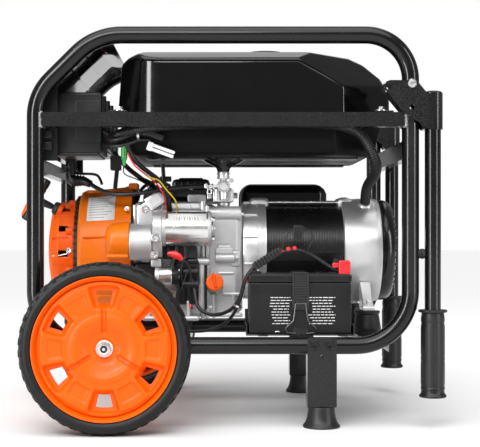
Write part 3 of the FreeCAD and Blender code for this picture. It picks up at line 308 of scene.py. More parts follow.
add_finish(
    "black_frame_paint", (0.004, 0.004, 0.0042), 0.2, coat=0.12, grain=900, bump=0.005,
    wear=STEEL_SCRATCH, wear_share=0.08, uneven=0.04, shine=0.3,
)
add_finish(
    "black_tank_paint", (0.003, 0.003, 0.0032), 0.11, coat=0.2, grain=300, bump=0.01, dust=0.01,
    uneven=0.03, shine=0.28,
)
add_finish("panel_paint", (0.008, 0.008, 0.0085), 0.13, coat=0.5, grain=800, bump=0.006, uneven=0.03)
add_finish("tank_underside", (0.003, 0.003, 0.0032), 0.5, grain=500, bump=0.02, shine=0.1)
add_finish(
    "orange_plastic", (0.96, 0.118, 0.001), 0.38, coat=0.05, tone=0.05, grain=1400, bump=0.03,
    shine=0.16,
)
add_finish(
    "orange_paint", (0.98, 0.2, 0.003), 0.36, coat=0.05, tone=0.06, grain=900, bump=0.02,
    shine=0.22,
)
add_finish(
    "tyre_rubber", (0.007, 0.007, 0.0073), 0.5, tone=0.25, grain=1500, bump=0.08, dust=0.03,
    shine=0.25, blotch=40,
)
add_finish(
    "black_rubber", (0.012, 0.012, 0.0125), 0.42, tone=0.2, grain=1300, bump=0.06, dust=0.03,
    shine=0.35,
)
add_finish(
    "black_plastic", (0.009, 0.009, 0.0095), 0.36, tone=0.15, grain=1600, bump=0.05, dust=0.02,
    shine=0.3,
)
add_finish(
    "cast_aluminium", (0.5, 0.5, 0.505), 0.45, metallic=0.6, tone=0.1, grain=1100, bump=0.16,
    blotch=18, wear=(0.8, 0.8, 0.81), wear_share=0.5, dust=0.04, uneven=0.1,
)
add_finish(
    "bright_aluminium", (0.72, 0.72, 0.725), 0.36, metallic=0.75, tone=0.07, grain=500, bump=0.05,
    grain_stretch=(0.08, 1, 1), dust=0.03,
)
add_finish(
    "zinc_steel", (0.68, 0.68, 0.67), 0.24, metallic=0.9, tone=0.06, grain=700, bump=0.01,
    blotch=60, uneven=0.05,
)
add_finish("dark_steel", (0.12, 0.12, 0.12), 0.4, metallic=0.9, grain=500, bump=0.1)
add_finish(
    "stator_paint", (0.007, 0.007, 0.007), 0.3, coat=0.05, grain=420, bump=0.04,
    grain_stretch=(14, 1, 1), shine=0.35,
)
add_finish(
    "battery_plastic", (0.007, 0.007, 0.0073), 0.4, tone=0.12, grain=1200, bump=0.04, dust=0.02,
    shine=0.3,
)
add_finish("red_plastic", (0.75, 0.012, 0.016), 0.35, grain=900, bump=0.04)
add_finish("green_plastic", (0.01, 0.28, 0.04), 0.35, grain=900, bump=0.04)
add_finish("yellow_wire", (0.8, 0.55, 0.01), 0.4, grain=900, bump=0.03)
add_finish("white_label", (0.92, 0.92, 0.91), 0.45, tone=0.04, grain=400, bump=0.02)
add_finish("grey_print", (0.5, 0.5, 0.5), 0.5, tone=0.1, grain=400, bump=0.01)
add_finish(
    "weld_metal", (0.016, 0.016, 0.017), 0.3, coat=0.2, grain=500, bump=0.35, wear=(0.6, 0.6, 0.6),
    wear_share=0.8,
)

for subpart in frame["record"]["subparts"]:
    node = frame["nodes"][subpart["node"]]
    finish = FINISH[subpart["material_slot"]]
    if not node.material_slots:
        node.data.materials.append(finish)
    for slot in node.material_slots:
        slot.material = finish


# --- mesh helpers; all in millimetres about the middle of the frame ---
def piece(name, bm, look, body="machine", stands_for=(), bevel=0.0, sharp=35.0, steps=3, smooth=True):
    """Turns a finished bmesh into a shown piece that rides on a body, unless body is None."""
    bmesh.ops.remove_doubles(bm, verts=bm.verts, dist=0.004)
    bmesh.ops.recalc_face_normals(bm, faces=bm.faces)
    limit = math.radians(sharp)
    for edge in bm.edges:
        edge.smooth = len(edge.link_faces) != 2 or edge.calc_face_angle(0.0) < limit or bevel > 0
    for face in bm.faces:
        face.smooth = smooth
    bm.transform(TO_FRAME)
    mesh = bpy.data.meshes.new(name)
    bm.to_mesh(mesh)
    bm.free()
    mesh.materials.append(FINISH[look])
    made = bpy.data.objects.new(name, mesh)
    bpy.context.scene.collection.objects.link(made)
    if bevel:
        modifier = made.modifiers.new("bevel", "BEVEL")
        modifier.width = bevel * MM
        modifier.segments = steps
        modifier.limit_method = "ANGLE"
        modifier.angle_limit = limit
        modifier.harden_normals = True
    if body:
        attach(made, body)
    if stands_for:
        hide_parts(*stands_for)
    return made


UNIT = (Vector((1, 0, 0)), Vector((0, 1, 0)), Vector((0, 0, 1)))
AXES = {"x": UNIT, "y": UNIT[1:] + UNIT[:1], "z": UNIT[2:] + UNIT[:2]}


def turned(bm, origin, axis, profile, sides=64, closed=False):
    """Revolves (distance along, radius) points about an axis through origin."""
    along, first, second = AXES[axis] if isinstance(axis, str) else basis(axis)
    origin = Vector(origin)
    rows = []
    for distance, radius in profile:
        row = []
        count = 1 if radius < 1e-6 else sides
        for i in range(count):
            angle = 2 * math.pi * i / sides
            ray = first * math.cos(angle) + second * math.sin(angle)
            row.append(bm.verts.new(origin + along * distance + ray * radius))
        rows.append(row)
    pairs = list(zip(rows, rows[1:])) + ([(rows[-1], rows[0])] if closed else [])
    for low, high in pairs:
        for i in range(sides):
            j = (i + 1) % sides
            corners = [low[i % len(low)], low[j % len(low)], high[j % len(high)], high[i % len(high)]]
            unique = list(dict.fromkeys(corners))
            if len(unique) > 2:
                bm.faces.new(unique)


def basis(direction):
    """A direction and two more that stand square to it."""
    along = Vector(direction).normalized()
    first = along.orthogonal().normalized()
    return along, first, along.cross(first)


def turn_about(bm, verts, turn):
    """Turns vertices by (degrees, axis, centre)."""
    angle, axis, centre = turn
    place = Matrix.Translation(Vector(centre))
    spin = Matrix.Rotation(math.radians(angle), 4, axis)
    bmesh.ops.transform(bm, matrix=place @ spin @ place.inverted(), verts=verts)


def block(bm, x, y, z, turn=None):
    """A sharp-edged box between two values on each axis, turned if wanted."""
    made = bmesh.ops.create_cube(bm, size=1.0)["verts"]
    middle = Vector([sum(pair) / 2 for pair in (x, y, z)])
    size = Matrix.Diagonal((x[1] - x[0], y[1] - y[0], z[1] - z[0], 1))
    bmesh.ops.transform(bm, matrix=Matrix.Translation(middle) @ size, verts=made)
    if turn:
        turn_about(bm, made, turn)


def pipe(bm, points, radii, sides=16):
    """A capped tube through points; radii is one radius or one for each point."""
    points = [Vector(p) for p in points]
    if not isinstance(radii, (list, tuple)):
        radii = [radii] * len(points)
    side = None
    rows = []
    for i, point in enumerate(points):
        ahead = (points[min(i + 1, len(points) - 1)] - points[max(i - 1, 0)]).normalized()
        if side is None:
            side = ahead.orthogonal().normalized()
        side = (side - ahead * side.dot(ahead)).normalized()
        other = ahead.cross(side)
        row = []
        for k in range(sides):
            turn = 2 * math.pi * k / sides
            place = point + side * radii[i] * math.cos(turn) + other * radii[i] * math.sin(turn)
            row.append(bm.verts.new(place))
        rows.append(row)
    for low, high in zip(rows, rows[1:]):
        for k in range(sides):
            n = (k + 1) % sides
            bm.faces.new((low[k], low[n], high[n], high[k]))
    bm.faces.new(rows[0])
    bm.faces.new(rows[-1])


def side_name(side):
    """Word for a side in piece and body names."""
    return "front" if side < 0 else "rear"


def flipped(bm, side):
    """Mirrors a mesh drawn for the battery side when it is wanted on the other one."""
    if side > 0:
        bmesh.ops.transform(bm, matrix=Matrix.Scale(-1, 4, (0, 1, 0)), verts=bm.verts)


def ball_of(centre, radius, steps=8):
    """Points of a ball, with some along every axis, for building rounded hulls."""
    points = []
    for i in range(steps + 1):
        lift = math.pi * (i / steps - 0.5)
        count = 1 if i in (0, steps) else 2 * steps
        for k in range(count):
            turn = math.pi * k / steps
            points.append(
                Vector(centre) + radius * Vector(
                    (math.cos(lift) * math.cos(turn), math.cos(lift) * math.sin(turn), math.sin(lift)))
            )
    return points


def hull(bm, corners, radius, steps=6):
    """A convex solid round the corners, its edges rounded by a radius."""
    inside = bmesh.new()
    for corner in corners:
        for point in ball_of(corner, radius, steps):
            inside.verts.new(point)
    result = bmesh.ops.convex_hull(inside, input=list(inside.verts), use_existing_faces=False)
    spare = {g for key in ("geom_interior", "geom_unused") for g in result[key]}
    spare_verts = [g for g in spare if isinstance(g, bmesh.types.BMVert)]
    bmesh.ops.delete(inside, geom=spare_verts, context="VERTS")
    bmesh.ops.dissolve_limit(
        inside, angle_limit=math.radians(1.0), verts=list(inside.verts), edges=list(inside.edges)
    )
    merge(bm, inside)


def merge(bm, other):
    """Adds one mesh in the making to another."""
    spare = bpy.data.meshes.new("spare")
    other.to_mesh(spare)
    other.free()
    bm.from_mesh(spare)
    bpy.data.meshes.remove(spare)


def soft_box(bm, x, y, z, radius, turn=None, steps=4):
    """A box with rounded edges, turned by (degrees, axis, centre) if wanted."""
    corners = [
        Vector((cx, cy, cz))
        for cx in (x[0] + radius, x[1] - radius)
        for cy in (y[0] + radius, y[1] - radius)
        for cz in (z[0] + radius, z[1] - radius)
    ]
    made = bmesh.new()
    hull(made, corners, radius, steps)
    if turn:
        turn_about(made, made.verts, turn)
    merge(bm, made)


def boxes_round_crank(bm, turns, x, half, reach, radius, steps=2):
    """Rounded boxes standing out from the crank's axis, one at each of the turns in degrees."""
    z = (CRANK_Z + reach[0], CRANK_Z + reach[1])
    for turn in turns:
        soft_box(bm, x, (-half, half), z, radius, (turn, "X", CRANK), steps)


def faceted(planes, low, high, inset):
    """Corners of a box cut by (point, normal) planes, all moved inward by inset."""
    made = bmesh.new()
    block(made, (low[0] + inset, high[0] - inset), (low[1] + inset, high[1] - inset),
          (low[2] + inset, high[2] - inset))
    for point, normal in planes:
        normal = Vector(normal).normalized()
        result = bmesh.ops.bisect_plane(
            made, geom=list(made.verts) + list(made.edges) + list(made.faces),
            plane_co=Vector(point) - normal * inset, plane_no=normal, clear_outer=True, dist=0.0001,
        )
        rim = [g for g in result["geom_cut"] if isinstance(g, bmesh.types.BMEdge)]
        bmesh.ops.contextual_create(made, geom=rim)
    corners = [v.co.copy() for v in made.verts]
    made.free()
    return corners


def bolt(bm, place, out, flats=10.0, height=6.0, washer=8.5):
    """Hex flange bolt standing on a seat; out is the direction of its head."""
    point = flats * 0.577  # half the width across a hexagon's corners
    turned(bm, place, out, [(0, 0), (0, washer), (1.2, washer), (1.9, washer - 0.7), (2.0, 0)], 24)
    turned(bm, place, out, [
        (1.9, 0), (1.9, point), (height - 0.9, point), (height, flats * 0.48),
        (height - 0.4, flats * 0.3), (height - 0.4, 0)], 6)


def straighten(made):
    """Keeps flat faces looking flat beside rounded edges."""
    made.modifiers.new("flat faces", "WEIGHTED_NORMAL").keep_sharp = True
    return made


def solid(name, build, look, **how):
    """Runs build(bm) and makes the piece."""
    bm = bmesh.new()
    build(bm)
    return straighten(piece(name, bm, look, **how))


def walled(made, thickness, offset, name="wall"):
    """Gives an open skin its wall."""
    wall = made.modifiers.new(name, "SOLIDIFY")
    wall.thickness = thickness * MM
    wall.offset = offset


# --- hoses and leads, made before everything that lies near them ---
def route_curve(name, points, diameter):
    """A round tube along a smooth curve through the points of a route."""
    curve = bpy.data.curves.new(name, "CURVE")
    curve.dimensions = "3D"
    curve.bevel_depth = diameter / 2 * MM
    curve.bevel_resolution = 5
    curve.use_fill_caps = True
    spline = curve.splines.new("NURBS")
    spline.points.add(len(points) - 1)
    for target, point in zip(spline.points, points):
        target.co = (*at(*point), 1)
    spline.order_u = 3
    spline.use_endpoint_u = True
    spline.resolution_u = 12
    made = bpy.data.objects.new(name, curve)
    bpy.context.scene.collection.objects.link(made)
    return made


def line_of(curve_object):
    """Points in metres along a route's own spline, and their total length."""
    bare = bpy.data.objects.new("bare", curve_object.data.copy())
    bare.data.bevel_depth = 0
    mesh = bpy.data.meshes.new_from_object(bare)
    points = [v.co.copy() for v in mesh.vertices]
    bpy.data.meshes.remove(mesh)
    bpy.data.curves.remove(bare.data)
    length = sum((b - a).length for a, b in zip(points, points[1:]))
    return points, length


def smooth_lead(name, points, diameter, look, stands_for=()):
    """One hose or wire along its route; its length is worked out but not used."""
    made = route_curve(name, points, diameter)
    made.data.materials.append(FINISH[look])
    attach(made, "machine")
    if stands_for:
        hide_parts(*stands_for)
    length = line_of(made)[1]
    return made


FUEL_HOSE = [
    (-24, -100, 425), (-44, -102, 424.5), (-76, -112, 423), (-118, -124, 417),
    (-160, -126, 410), (-198, -119, 409), (-226, -103, 417), (-246, -90, 430),
]
CONDUIT = [
    (-214.7, -171, 508), (-198, -171, 508), (-189, -198, 511), (-168, -213, 517),
    (-130, -210, 524), (-40, -209.5, 531), (100, -210, 532), (190, -210, 531),
    (238, -210, 521), (258, -210, 492), (272, -203, 464), (276, -175, 446),
    (273, -135, 437), (270, -98, 427), (270, -66, 412), (272, -50, 396),
]
BATTERY_LEAD = [
    (205, -198, 271), (195, -199, 275), (181, -202, 284), (158, -205, 300),
    (130, -206, 311), (100, -205, 304), (74, -204, 290), (52, -202, 276),
    (38, -199, 254), (33, -194, 228), (22, -186, 206), (0, -172, 192),
    (-26, -160, 190), (-46, -151, 204), (-50, -142, 228), (-54, -134, 250),
    (-61, -131, 264), (-70, -131, 269),
]


def ribbed_conduit():
    """Corrugated sleeve: a mesh tube along its route's spline with a ring every few millimetres."""
    guide = route_curve("conduit_route", CONDUIT, 20.0)
    line, length = line_of(guide)
    bpy.data.objects.remove(guide)
    pitch = 4.0 * MM
    step = pitch / 4
    places = []
    travelled = 0.0
    target = 0.0
    for a, b in zip(line, line[1:]):
        run = (b - a).length
        while target <= travelled + run and run > 0:
            places.append(a.lerp(b, (target - travelled) / run))
            target += step
        travelled += run
    radii = [9.4 if i % 4 in (0, 1) else 8.3 for i in range(len(places))]
    bm = bmesh.new()
    into_drawing = TO_FRAME.inverted()
    pipe(bm, [into_drawing @ p for p in places], radii, sides=20)
    made = piece("wiring_conduit_sleeve", bm, "black_plastic", stands_for=("wiring_conduit",), sharp=70)


smooth_lead("fuel_hose_line", FUEL_HOSE, 8.0, "black_rubber", ("fuel_hose",))
smooth_lead("battery_positive_lead", BATTERY_LEAD, 6.5, "black_rubber", ("battery_lead",))
ribbed_conduit()


# --- wheels ---
RIM_SECTORS = 6
WINDOW_R = (76.0, 98.0)
# Rings of the rim's face, and its spokes' places as shares of the way from a window's middle.
RIM_RADII = [16, 20, 24, 28, 33, 38, 43, 46, 47.5, 48.5, 52, 56, 57, 58, 62, 66, 68, 69, 70, 71, 73,
             76, 80, 84, 88, 91, 93, 95, 96, 98, 99, 101, 103, 104, 106, 107, 109, 112]
RIM_SHARES = [0, 0.12, 0.25, 0.38, 0.46, 0.5, 0.53, 0.57, 0.59, 0.61, 0.63, 0.66, 0.7, 0.74, 0.76,
              0.78, 0.84, 0.92]
TREAD_LUGS = 44


def window_edge(radius):
    """Half angle of a rim window at a radius, in degrees; it widens outward."""
    share = (radius - WINDOW_R[0]) / (WINDOW_R[1] - WINDOW_R[0])
    return 7.2 + 1.3 * min(max(share, 0.0), 1.6)


def smooth_step(value, low, high):
    """0 below low, 1 above high, and an even S between them."""
    t = min(max((value - low) / (high - low), 0.0), 1.0)
    return t * t * (3 - 2 * t)


def rim_depth(radius, share, angle):
    """Depth of the rim's face behind the tyre's face; share is 0 at a window's middle, 1 between two."""
    dish = 19.0 - 12.5 * smooth_step(radius, 20, 47)
    if radius > 106:
        dish = 6.5 + 3.0 * smooth_step(radius, 106, 109)
    channel = 1.0 - smooth_step(share, 0.57, 0.66)
    dish += 12.0 * channel * smooth_step(radius, 66, 76) * (1 - smooth_step(radius, 102, 109))
    pad = smooth_step(share, 0.74, 0.78) * smooth_step(radius, 69, 71) * (1 - smooth_step(radius, 93, 96))
    dish += 2.6 * pad
    hub_ring = smooth_step(radius, 46, 48.5) * (1 - smooth_step(radius, 56, 58))
    dish -= 1.2 * hub_ring
    for groove in (90.0, 210.0, 330.0):
        away = abs((angle - groove + 180) % 360 - 180)
        across = radius * math.radians(away)
        if across < 12 and 24 < radius < 80:
            dish += 6.0 * (1 - smooth_step(across, 2.6, 4.8)) * smooth_step(radius, 24, 30)
    return dish


def wheel(side):
    """Moulded rim face with windows, its barrel and hub, as one solid skin."""
    which = side_name(side)
    bm = bmesh.new()
    ordered = []
    for sector in range(RIM_SECTORS):
        for share in [-s for s in reversed(RIM_SHARES[1:])] + RIM_SHARES + [1.0]:
            ordered.append((sector, share))
    grid = []
    for radius in RIM_RADII:
        row = []
        for sector, share in ordered:
            middle = 30.0 + 60.0 * sector
            edge = window_edge(radius)
            size = abs(share)
            turn = size / 0.5 * edge if size <= 0.5 else edge + (size - 0.5) / 0.5 * (30 - edge)
            angle = middle + math.copysign(turn, share)
            depth = rim_depth(radius, size, angle % 360)
            spot = math.radians(angle)
            place = (WHEEL_X + radius * math.cos(spot), depth - WHEEL_FACE,
                WHEEL_Z + radius * math.sin(spot))
            row.append(bm.verts.new(place))
        grid.append(row)
    for r in range(len(RIM_RADII) - 1):
        inside_r = WINDOW_R[0] <= RIM_RADII[r] and RIM_RADII[r + 1] <= WINDOW_R[1]
        for c in range(len(ordered)):
            n = (c + 1) % len(ordered)
            wide = max(abs(ordered[c][1]), abs(ordered[n][1]))
            if inside_r and wide <= 0.5 and ordered[c][0] == ordered[n][0]:
                continue
            bm.faces.new((grid[r][c], grid[r][n], grid[r + 1][n], grid[r + 1][c]))
    flipped(bm, side)
    face = piece(f"{which}_rim_face", bm, "orange_plastic", f"{which}_wheel",
                 (f"{which}_wheel_rim",), sharp=50)
    walled(face, 3.2, side)
    bm = bmesh.new()
    turned(
        bm, WHEEL_HUB, "y",
        [(-WHEEL_FACE + a, r) for a, r in (
            (14.4, 111.5), (12, 114), (8, 116), (3.5, 117.6), (2, 119.4), (2.2, 121.2), (4, 121.6),
            (6, 121.2), (7, 118.4), (30, 118), (58, 118.4), (59, 121.3), (62, 121.3), (62.6, 119.5),
            (61, 116), (56, 113.8), (18, 113.2), (17.6, 111.5))],
        96, closed=True,
    )
    turned(
        bm, WHEEL_HUB, "y",
        [(-WHEEL_FACE + a, r) for a, r in (
            (20, 8.2), (19.2, 9), (19, 17.5), (22, 20), (60, 21), (61, 20), (61, 8.2))],
        40, closed=True,
    )
    for i in range(12):
        block(
            bm, (WHEEL_X + 19, WHEEL_X + 113.5), (-WHEEL_FACE + 24, -WHEEL_FACE + 50),
            (WHEEL_Z - 1.4, WHEEL_Z + 1.4), (15 + 30 * i, "Y", WHEEL_HUB),
        )
    flipped(bm, side)
    piece(f"{which}_rim_barrel", bm, "orange_plastic", f"{which}_wheel", sharp=40)


def tyre(side):
    """Solid tyre with two rows of staggered tread lugs and shoulder blocks."""
    which = side_name(side)
    bm = bmesh.new()
    turned(
        bm, WHEEL_HUB, "y",
        [(-WHEEL_FACE + a, r) for a, r in (
            (6.5, 118.6), (6, 121.9), (3, 123.2), (1.2, 126), (0.4, 130), (1, 134), (3.6, 138),
            (8, 140.6), (20, 141.6), (32.5, 142), (45, 141.6), (57, 140.6), (61.4, 138), (64, 134),
            (64.6, 130), (63.8, 126), (62, 123.2), (59, 121.9), (58.5, 118.6), (32, 118.4))],
        144, closed=True,
    )
    for i in range(TREAD_LUGS):
        for row, (low, high) in enumerate(((2.6, 15), (16.5, 31), (34, 48.5), (50, 62.4))):
            angle = 360 / TREAD_LUGS * (i + 0.5 * (row % 2))
            outer = 144.7 if 0 < row < 3 else 143.2
            slant = 2.4 if row < 2 else -2.4
            corners = []
            for radius in (140.0, outer):
                shrink = 0.0 if radius < 141 else 1.0
                for across, along in ((-1, -1), (1, -1), (1, 1), (-1, 1)):
                    y = (low + shrink) if along < 0 else (high - shrink)
                    shoulder = (row, along) in ((0, -1), (3, 1))
                    reach = radius - 3.6 if shoulder else radius
                    turn = math.radians(angle) + (across * (6.4 - shrink) + along * slant) / 142.0
                    x, z = WHEEL_X + reach * math.cos(turn), WHEEL_Z + reach * math.sin(turn)
                    corners.append(bm.verts.new((x, -WHEEL_FACE + y, z)))
            low_ring, high_ring = corners[:4], corners[4:]
            bm.faces.new(high_ring)
            for k in range(4):
                m = (k + 1) % 4
                bm.faces.new((low_ring[k], low_ring[m], high_ring[m], high_ring[k]))
    flipped(bm, side)
    piece(f"{which}_tyre_tread", bm, "tyre_rubber", f"{which}_wheel", (f"{which}_tyre",), sharp=32)


for hand in SIDES:
    wheel(hand)
    tyre(hand)

# --- fuel tank ---
def cut_level(bm, z, up):
    """Takes off what lies above a level, or below it where up is -1."""
    everything = list(bm.verts) + list(bm.edges) + list(bm.faces)
    bmesh.ops.bisect_plane(bm, geom=everything, plane_co=(0, 0, z), plane_no=(0, 0, up), clear_outer=True)


def tank_upper(bm):
    """Upper pressing: bevelled top, falling right end, cut-off corners."""
    planes = [
        ((-189, 0, 549), (-0.997, 0, 0.075)), ((-182, 0, 642), (-0.65, 0, 0.76)),
        ((-168, 0, 654), (-0.336, 0, 0.94)), ((150, 0, 664), (0.088, 0, 0.996)),
        ((229, 0, 657), (0.406, 0, 0.914)), ((256, 0, 645), (0.654, 0, 0.756)),
        ((290, 0, 613), (0.93, 0, 0.36)),
    ]
    for side in SIDES:
        planes += [
            ((0, side * TANK_HALF, 647), (0, side * 0.458, 0.889)),
            ((0, side * (TANK_HALF + 2), 549), (0, side, 0.022)),
            ((-132, side * TANK_HALF, 600), (-0.595, side * 0.803, 0.03)),
            ((215, side * TANK_HALF, 600), (0.513, side * 0.858, 0.02)),
            ((149, side * TANK_HALF, 637), (0.376, side * 0.673, 0.637)),
        ]
        for step in range(1, 6):
            turn = math.radians(36.6 * step / 6)
            out = Vector((-math.sin(turn), side * math.cos(turn), 0.025))
            planes.append((tuple(Vector((-99, side * (TANK_HALF - 99), 600)) + out * 100), tuple(out)))
    low, high = (-189, -TANK_HALF - 2, 530), (303, TANK_HALF + 2, 664)
    hull(bm, faceted(planes, low, high, 13.0), 13.0, 8)
    cut_level(bm, SEAM_Z, -1)


def tank_lower(bm):
    """Lower pressing with a well rounded belly."""
    planes = []
    for side in SIDES:
        planes.append(((0, side * 197, 500), (0, side, -0.35)))
        planes.append(((200, side * 197, 500), (0.62, side * 0.78, -0.1)))
    planes.append(((290, 0, 520), (1, 0, -0.42)))
    planes.append(((-172, 0, 500), (-1, 0, -0.3)))
    corners = faceted(planes, (-176, -199, 477), (292, 199, 580), 15.0)
    hull(bm, corners, 15.0, 6)
    cut_level(bm, SEAM_Z - 1, 1)


def tank_trim(bm):
    """Rolled seam, its mounting ears, two pressed swages underneath and the neck."""
    soft_box(bm, (-193, 302), (-211, 211), (SEAM_Z - 2.6, SEAM_Z + 1.4), 1.9)
    for x in (-183, 280):
        soft_box(bm, (x - 17, x + 17), (-244, 244), (SEAM_Z - 1.9, SEAM_Z + 1.3), 1.5)
    for y in (-120, 120):
        soft_box(bm, (-140, 250), (y - 9, y + 9), (473, 480), 3.4)
    turned(bm, (TANK_CAP_X, 0, 0), "z", [
        (655, 0), (655, 34), (664.5, 33.5), (667, 31), (671, 29), (680, 28), (680, 0)])


def tank_sump(bm):
    """Turned cone under the tank that the valve is screwed into."""
    turned(bm, (VALVE_X, VALVE_Y, 0), "z", [
        (452, 0), (452, 10), (453, 11), (459, 13), (463, 19), (469, 31), (474, 40), (479, 45), (486, 46),
        (486, 0)], 48)


solid("tank_upper_pressing", tank_upper, "black_tank_paint", stands_for=("fuel_tank",))
solid("tank_lower_pressing", tank_lower, "tank_underside")
solid("tank_seam_and_ears", tank_trim, "black_tank_paint")
solid("tank_sump_cone", tank_sump, "black_tank_paint")


def fuel_cap(bm):
    """Turned cap with a knurled side and a raised grip bar."""
    turned(bm, (TANK_CAP_X, 0, 0), "z", [
        (673.5, 28.5), (673.5, 37.6), (674.5, 38.6), (683, 38.8), (686, 37.6), (687.6, 34), (688, 28),
        (687.2, 25), (687.2, 0), (680.8, 0), (680.8, 28.5)], 72)
    for i in range(30):
        angle = 2 * math.pi * i / 30
        x, y = TANK_CAP_X + 38.4 * math.cos(angle), 38.4 * math.sin(angle)
        pipe(bm, [(x, y, 675), (x, y, 684)], 1.1, 8)
    soft_box(bm, (60, 108), (-5, 5), (685, 691.6), 2.2)


solid("fuel_cap_body", fuel_cap, "black_plastic", body="tank_cap", stands_for=("fuel_cap",))


# --- orange covers ---
def recoil_cover(bm):
    """Dished cover with a ring of air slots round its side and on its face."""
    profile = [
        (-276.6, 99.5), (-280, 99.5), (-281, 92.6), (-286, 92.6), (-288, 92.6), (-306, 92.6),
        (-307, 92.4), (-311, 91), (-316, 88), (-320.5, 84), (-324, 78), (-325, 74), (-326.5, 62),
        (-328, 58), (-329, 54), (-329, 30), (-327, 27), (-327, 0.6),
    ]
    side_slots, face_slots = 4, 11  # rows of the profile that the slots are cut in
    sides = 144
    rows = []
    for x, r in profile:
        turns = [2 * math.pi * k / sides for k in range(sides)]
        rows.append([bm.verts.new((x, r * math.cos(a), CRANK_Z + r * math.sin(a))) for a in turns])
    for i, (low, high) in enumerate(zip(rows, rows[1:])):
        for k in range(sides):
            place = k % 12
            is_open = (i == side_slots and place < 3) or (i == face_slots and 2 <= place <= 9)
            if not is_open:
                n = (k + 1) % sides
                bm.faces.new((low[k], low[n], high[n], high[k]))


cover = solid("recoil_cover_skin", recoil_cover, "orange_plastic", stands_for=("recoil_cover",), sharp=60)
walled(cover, 2.4, -1)


def recoil_trim(bm):
    """Ribs, screw towers and the rope's outlet boss of the starter cover."""
    for i in range(8):
        angle = math.radians(22.5 + 45 * i)
        y, z = 96 * math.cos(angle), CRANK_Z + 96 * math.sin(angle)
        turned(bm, (0, y, z), "x", [(-292, 0), (-292, 5.4), (-290, 6.4), (-279, 6.6), (-279, 0)], 24)
    boxes_round_crank(bm, range(15, 375, 30), (-319, -287), 1.2, (84, 94.2), 1.0)
    turned(bm, ROPE_MOUTH - PULL * 10, PULL, [
        (0, 4.4), (0, 12), (8, 11.6), (9, 10.5), (9, 4.4), (0, 4.4)], 32)


def rope_guide(bm):
    """Rubber bush that the rope runs through."""
    turned(bm, ROPE_MOUTH - PULL * 2, PULL, [
        (0, 4.5), (0, 11), (2, 12.6), (8, 12.4), (10.5, 10), (10.5, 4.5), (0, 4.5)], 40)


solid("rope_guide_bush", rope_guide, "black_rubber")
solid("recoil_cover_trim", recoil_trim, "orange_plastic")


def blower(bm):
    """Fan shroud: stepped front flange, tapered drum and turned-out rear edge."""
    turned(bm, CRANK, "x", [
        (-268, 96), (-269, 97), (-269, 109), (-268, 111.6), (-265, 113.4), (-262, 114.6),
        (-259, 114.4), (-240, 116.2), (-210, 119), (-186, 121.6), (-183, 123.4), (-171, 125),
        (-169.2, 124.6), (-169.2, 121.8), (-184, 119.6), (-266, 111), (-266, 97)], 128, closed=True)
    soft_box(bm, (-178, -160), (-40, 0), (420, 434), 3)
    turned(bm, (0, -134, 324), "x", [
        (-169.3, 0), (-169.3, 33.5), (-172, 34.5), (-196, 33.4), (-203, 31.8), (-208.5, 28), (-212, 22),
        (-213.4, 13), (-213.6, 0)], 64)
    soft_box(bm, (-211, -169.4), (-160, -80), (291, 301), 4.5)
    boxes_round_crank(bm, (18, 78, 136, 189, 247, 315), (-258, -176), 1.5, (108, 120.4), 1.3)


solid("blower_shroud", blower, "orange_paint", stands_for=("blower_housing",), sharp=60)


def curved_label(name, x, radius, low, high, look, axis=(0, CRANK_Z), cone=0.0, steps=24):
    """A thin printed sheet lying on a round or conical surface, between two turns in degrees."""
    bm = bmesh.new()
    rows = []
    for i in range(steps + 1):
        turn = math.radians(low + (high - low) * i / steps)
        row = []
        for place, r in ((x[0], radius), (x[1], radius + cone * (x[1] - x[0]))):
            row.append(bm.verts.new((place, axis[0] + r * math.cos(turn), axis[1] + r * math.sin(turn))))
        rows.append(row)
    for a, b in zip(rows, rows[1:]):
        bm.faces.new((a[0], a[1], b[1], b[0]))
    walled(piece(name, bm, look), 0.35, 0, "sheet")


curved_label("blower_data_plate", (-252, -200), 116.0, 121, 152, "white_label", cone=0.098)
for line in range(9):
    turn = 124.5 + 3.0 * line
    curved_label(f"blower_plate_rule_{line}", (-248, -206 - 7 * (line % 3)), 116.75, turn, turn + 0.7,
                 "grey_print", cone=0.098, steps=3)


def blower_band(bm):
    """Dark seal between the shroud and the starter cover, and the deflector's lip on top."""
    turned(bm, CRANK, "x", [(-277.4, 86), (-277.4, 99), (-266, 104), (-266, 86)], 96, closed=True)
    boxes_round_crank(bm, [7.5 * i for i in range(48)], (-277, -267), 1.2, (98, 105), 0.5)
    turned(bm, CRANK, "x", [
        (-168.9, 117), (-168.9, 123.6), (-166.2, 123), (-166.2, 117)], 96, closed=True)


solid("blower_seals", blower_band, "black_rubber")

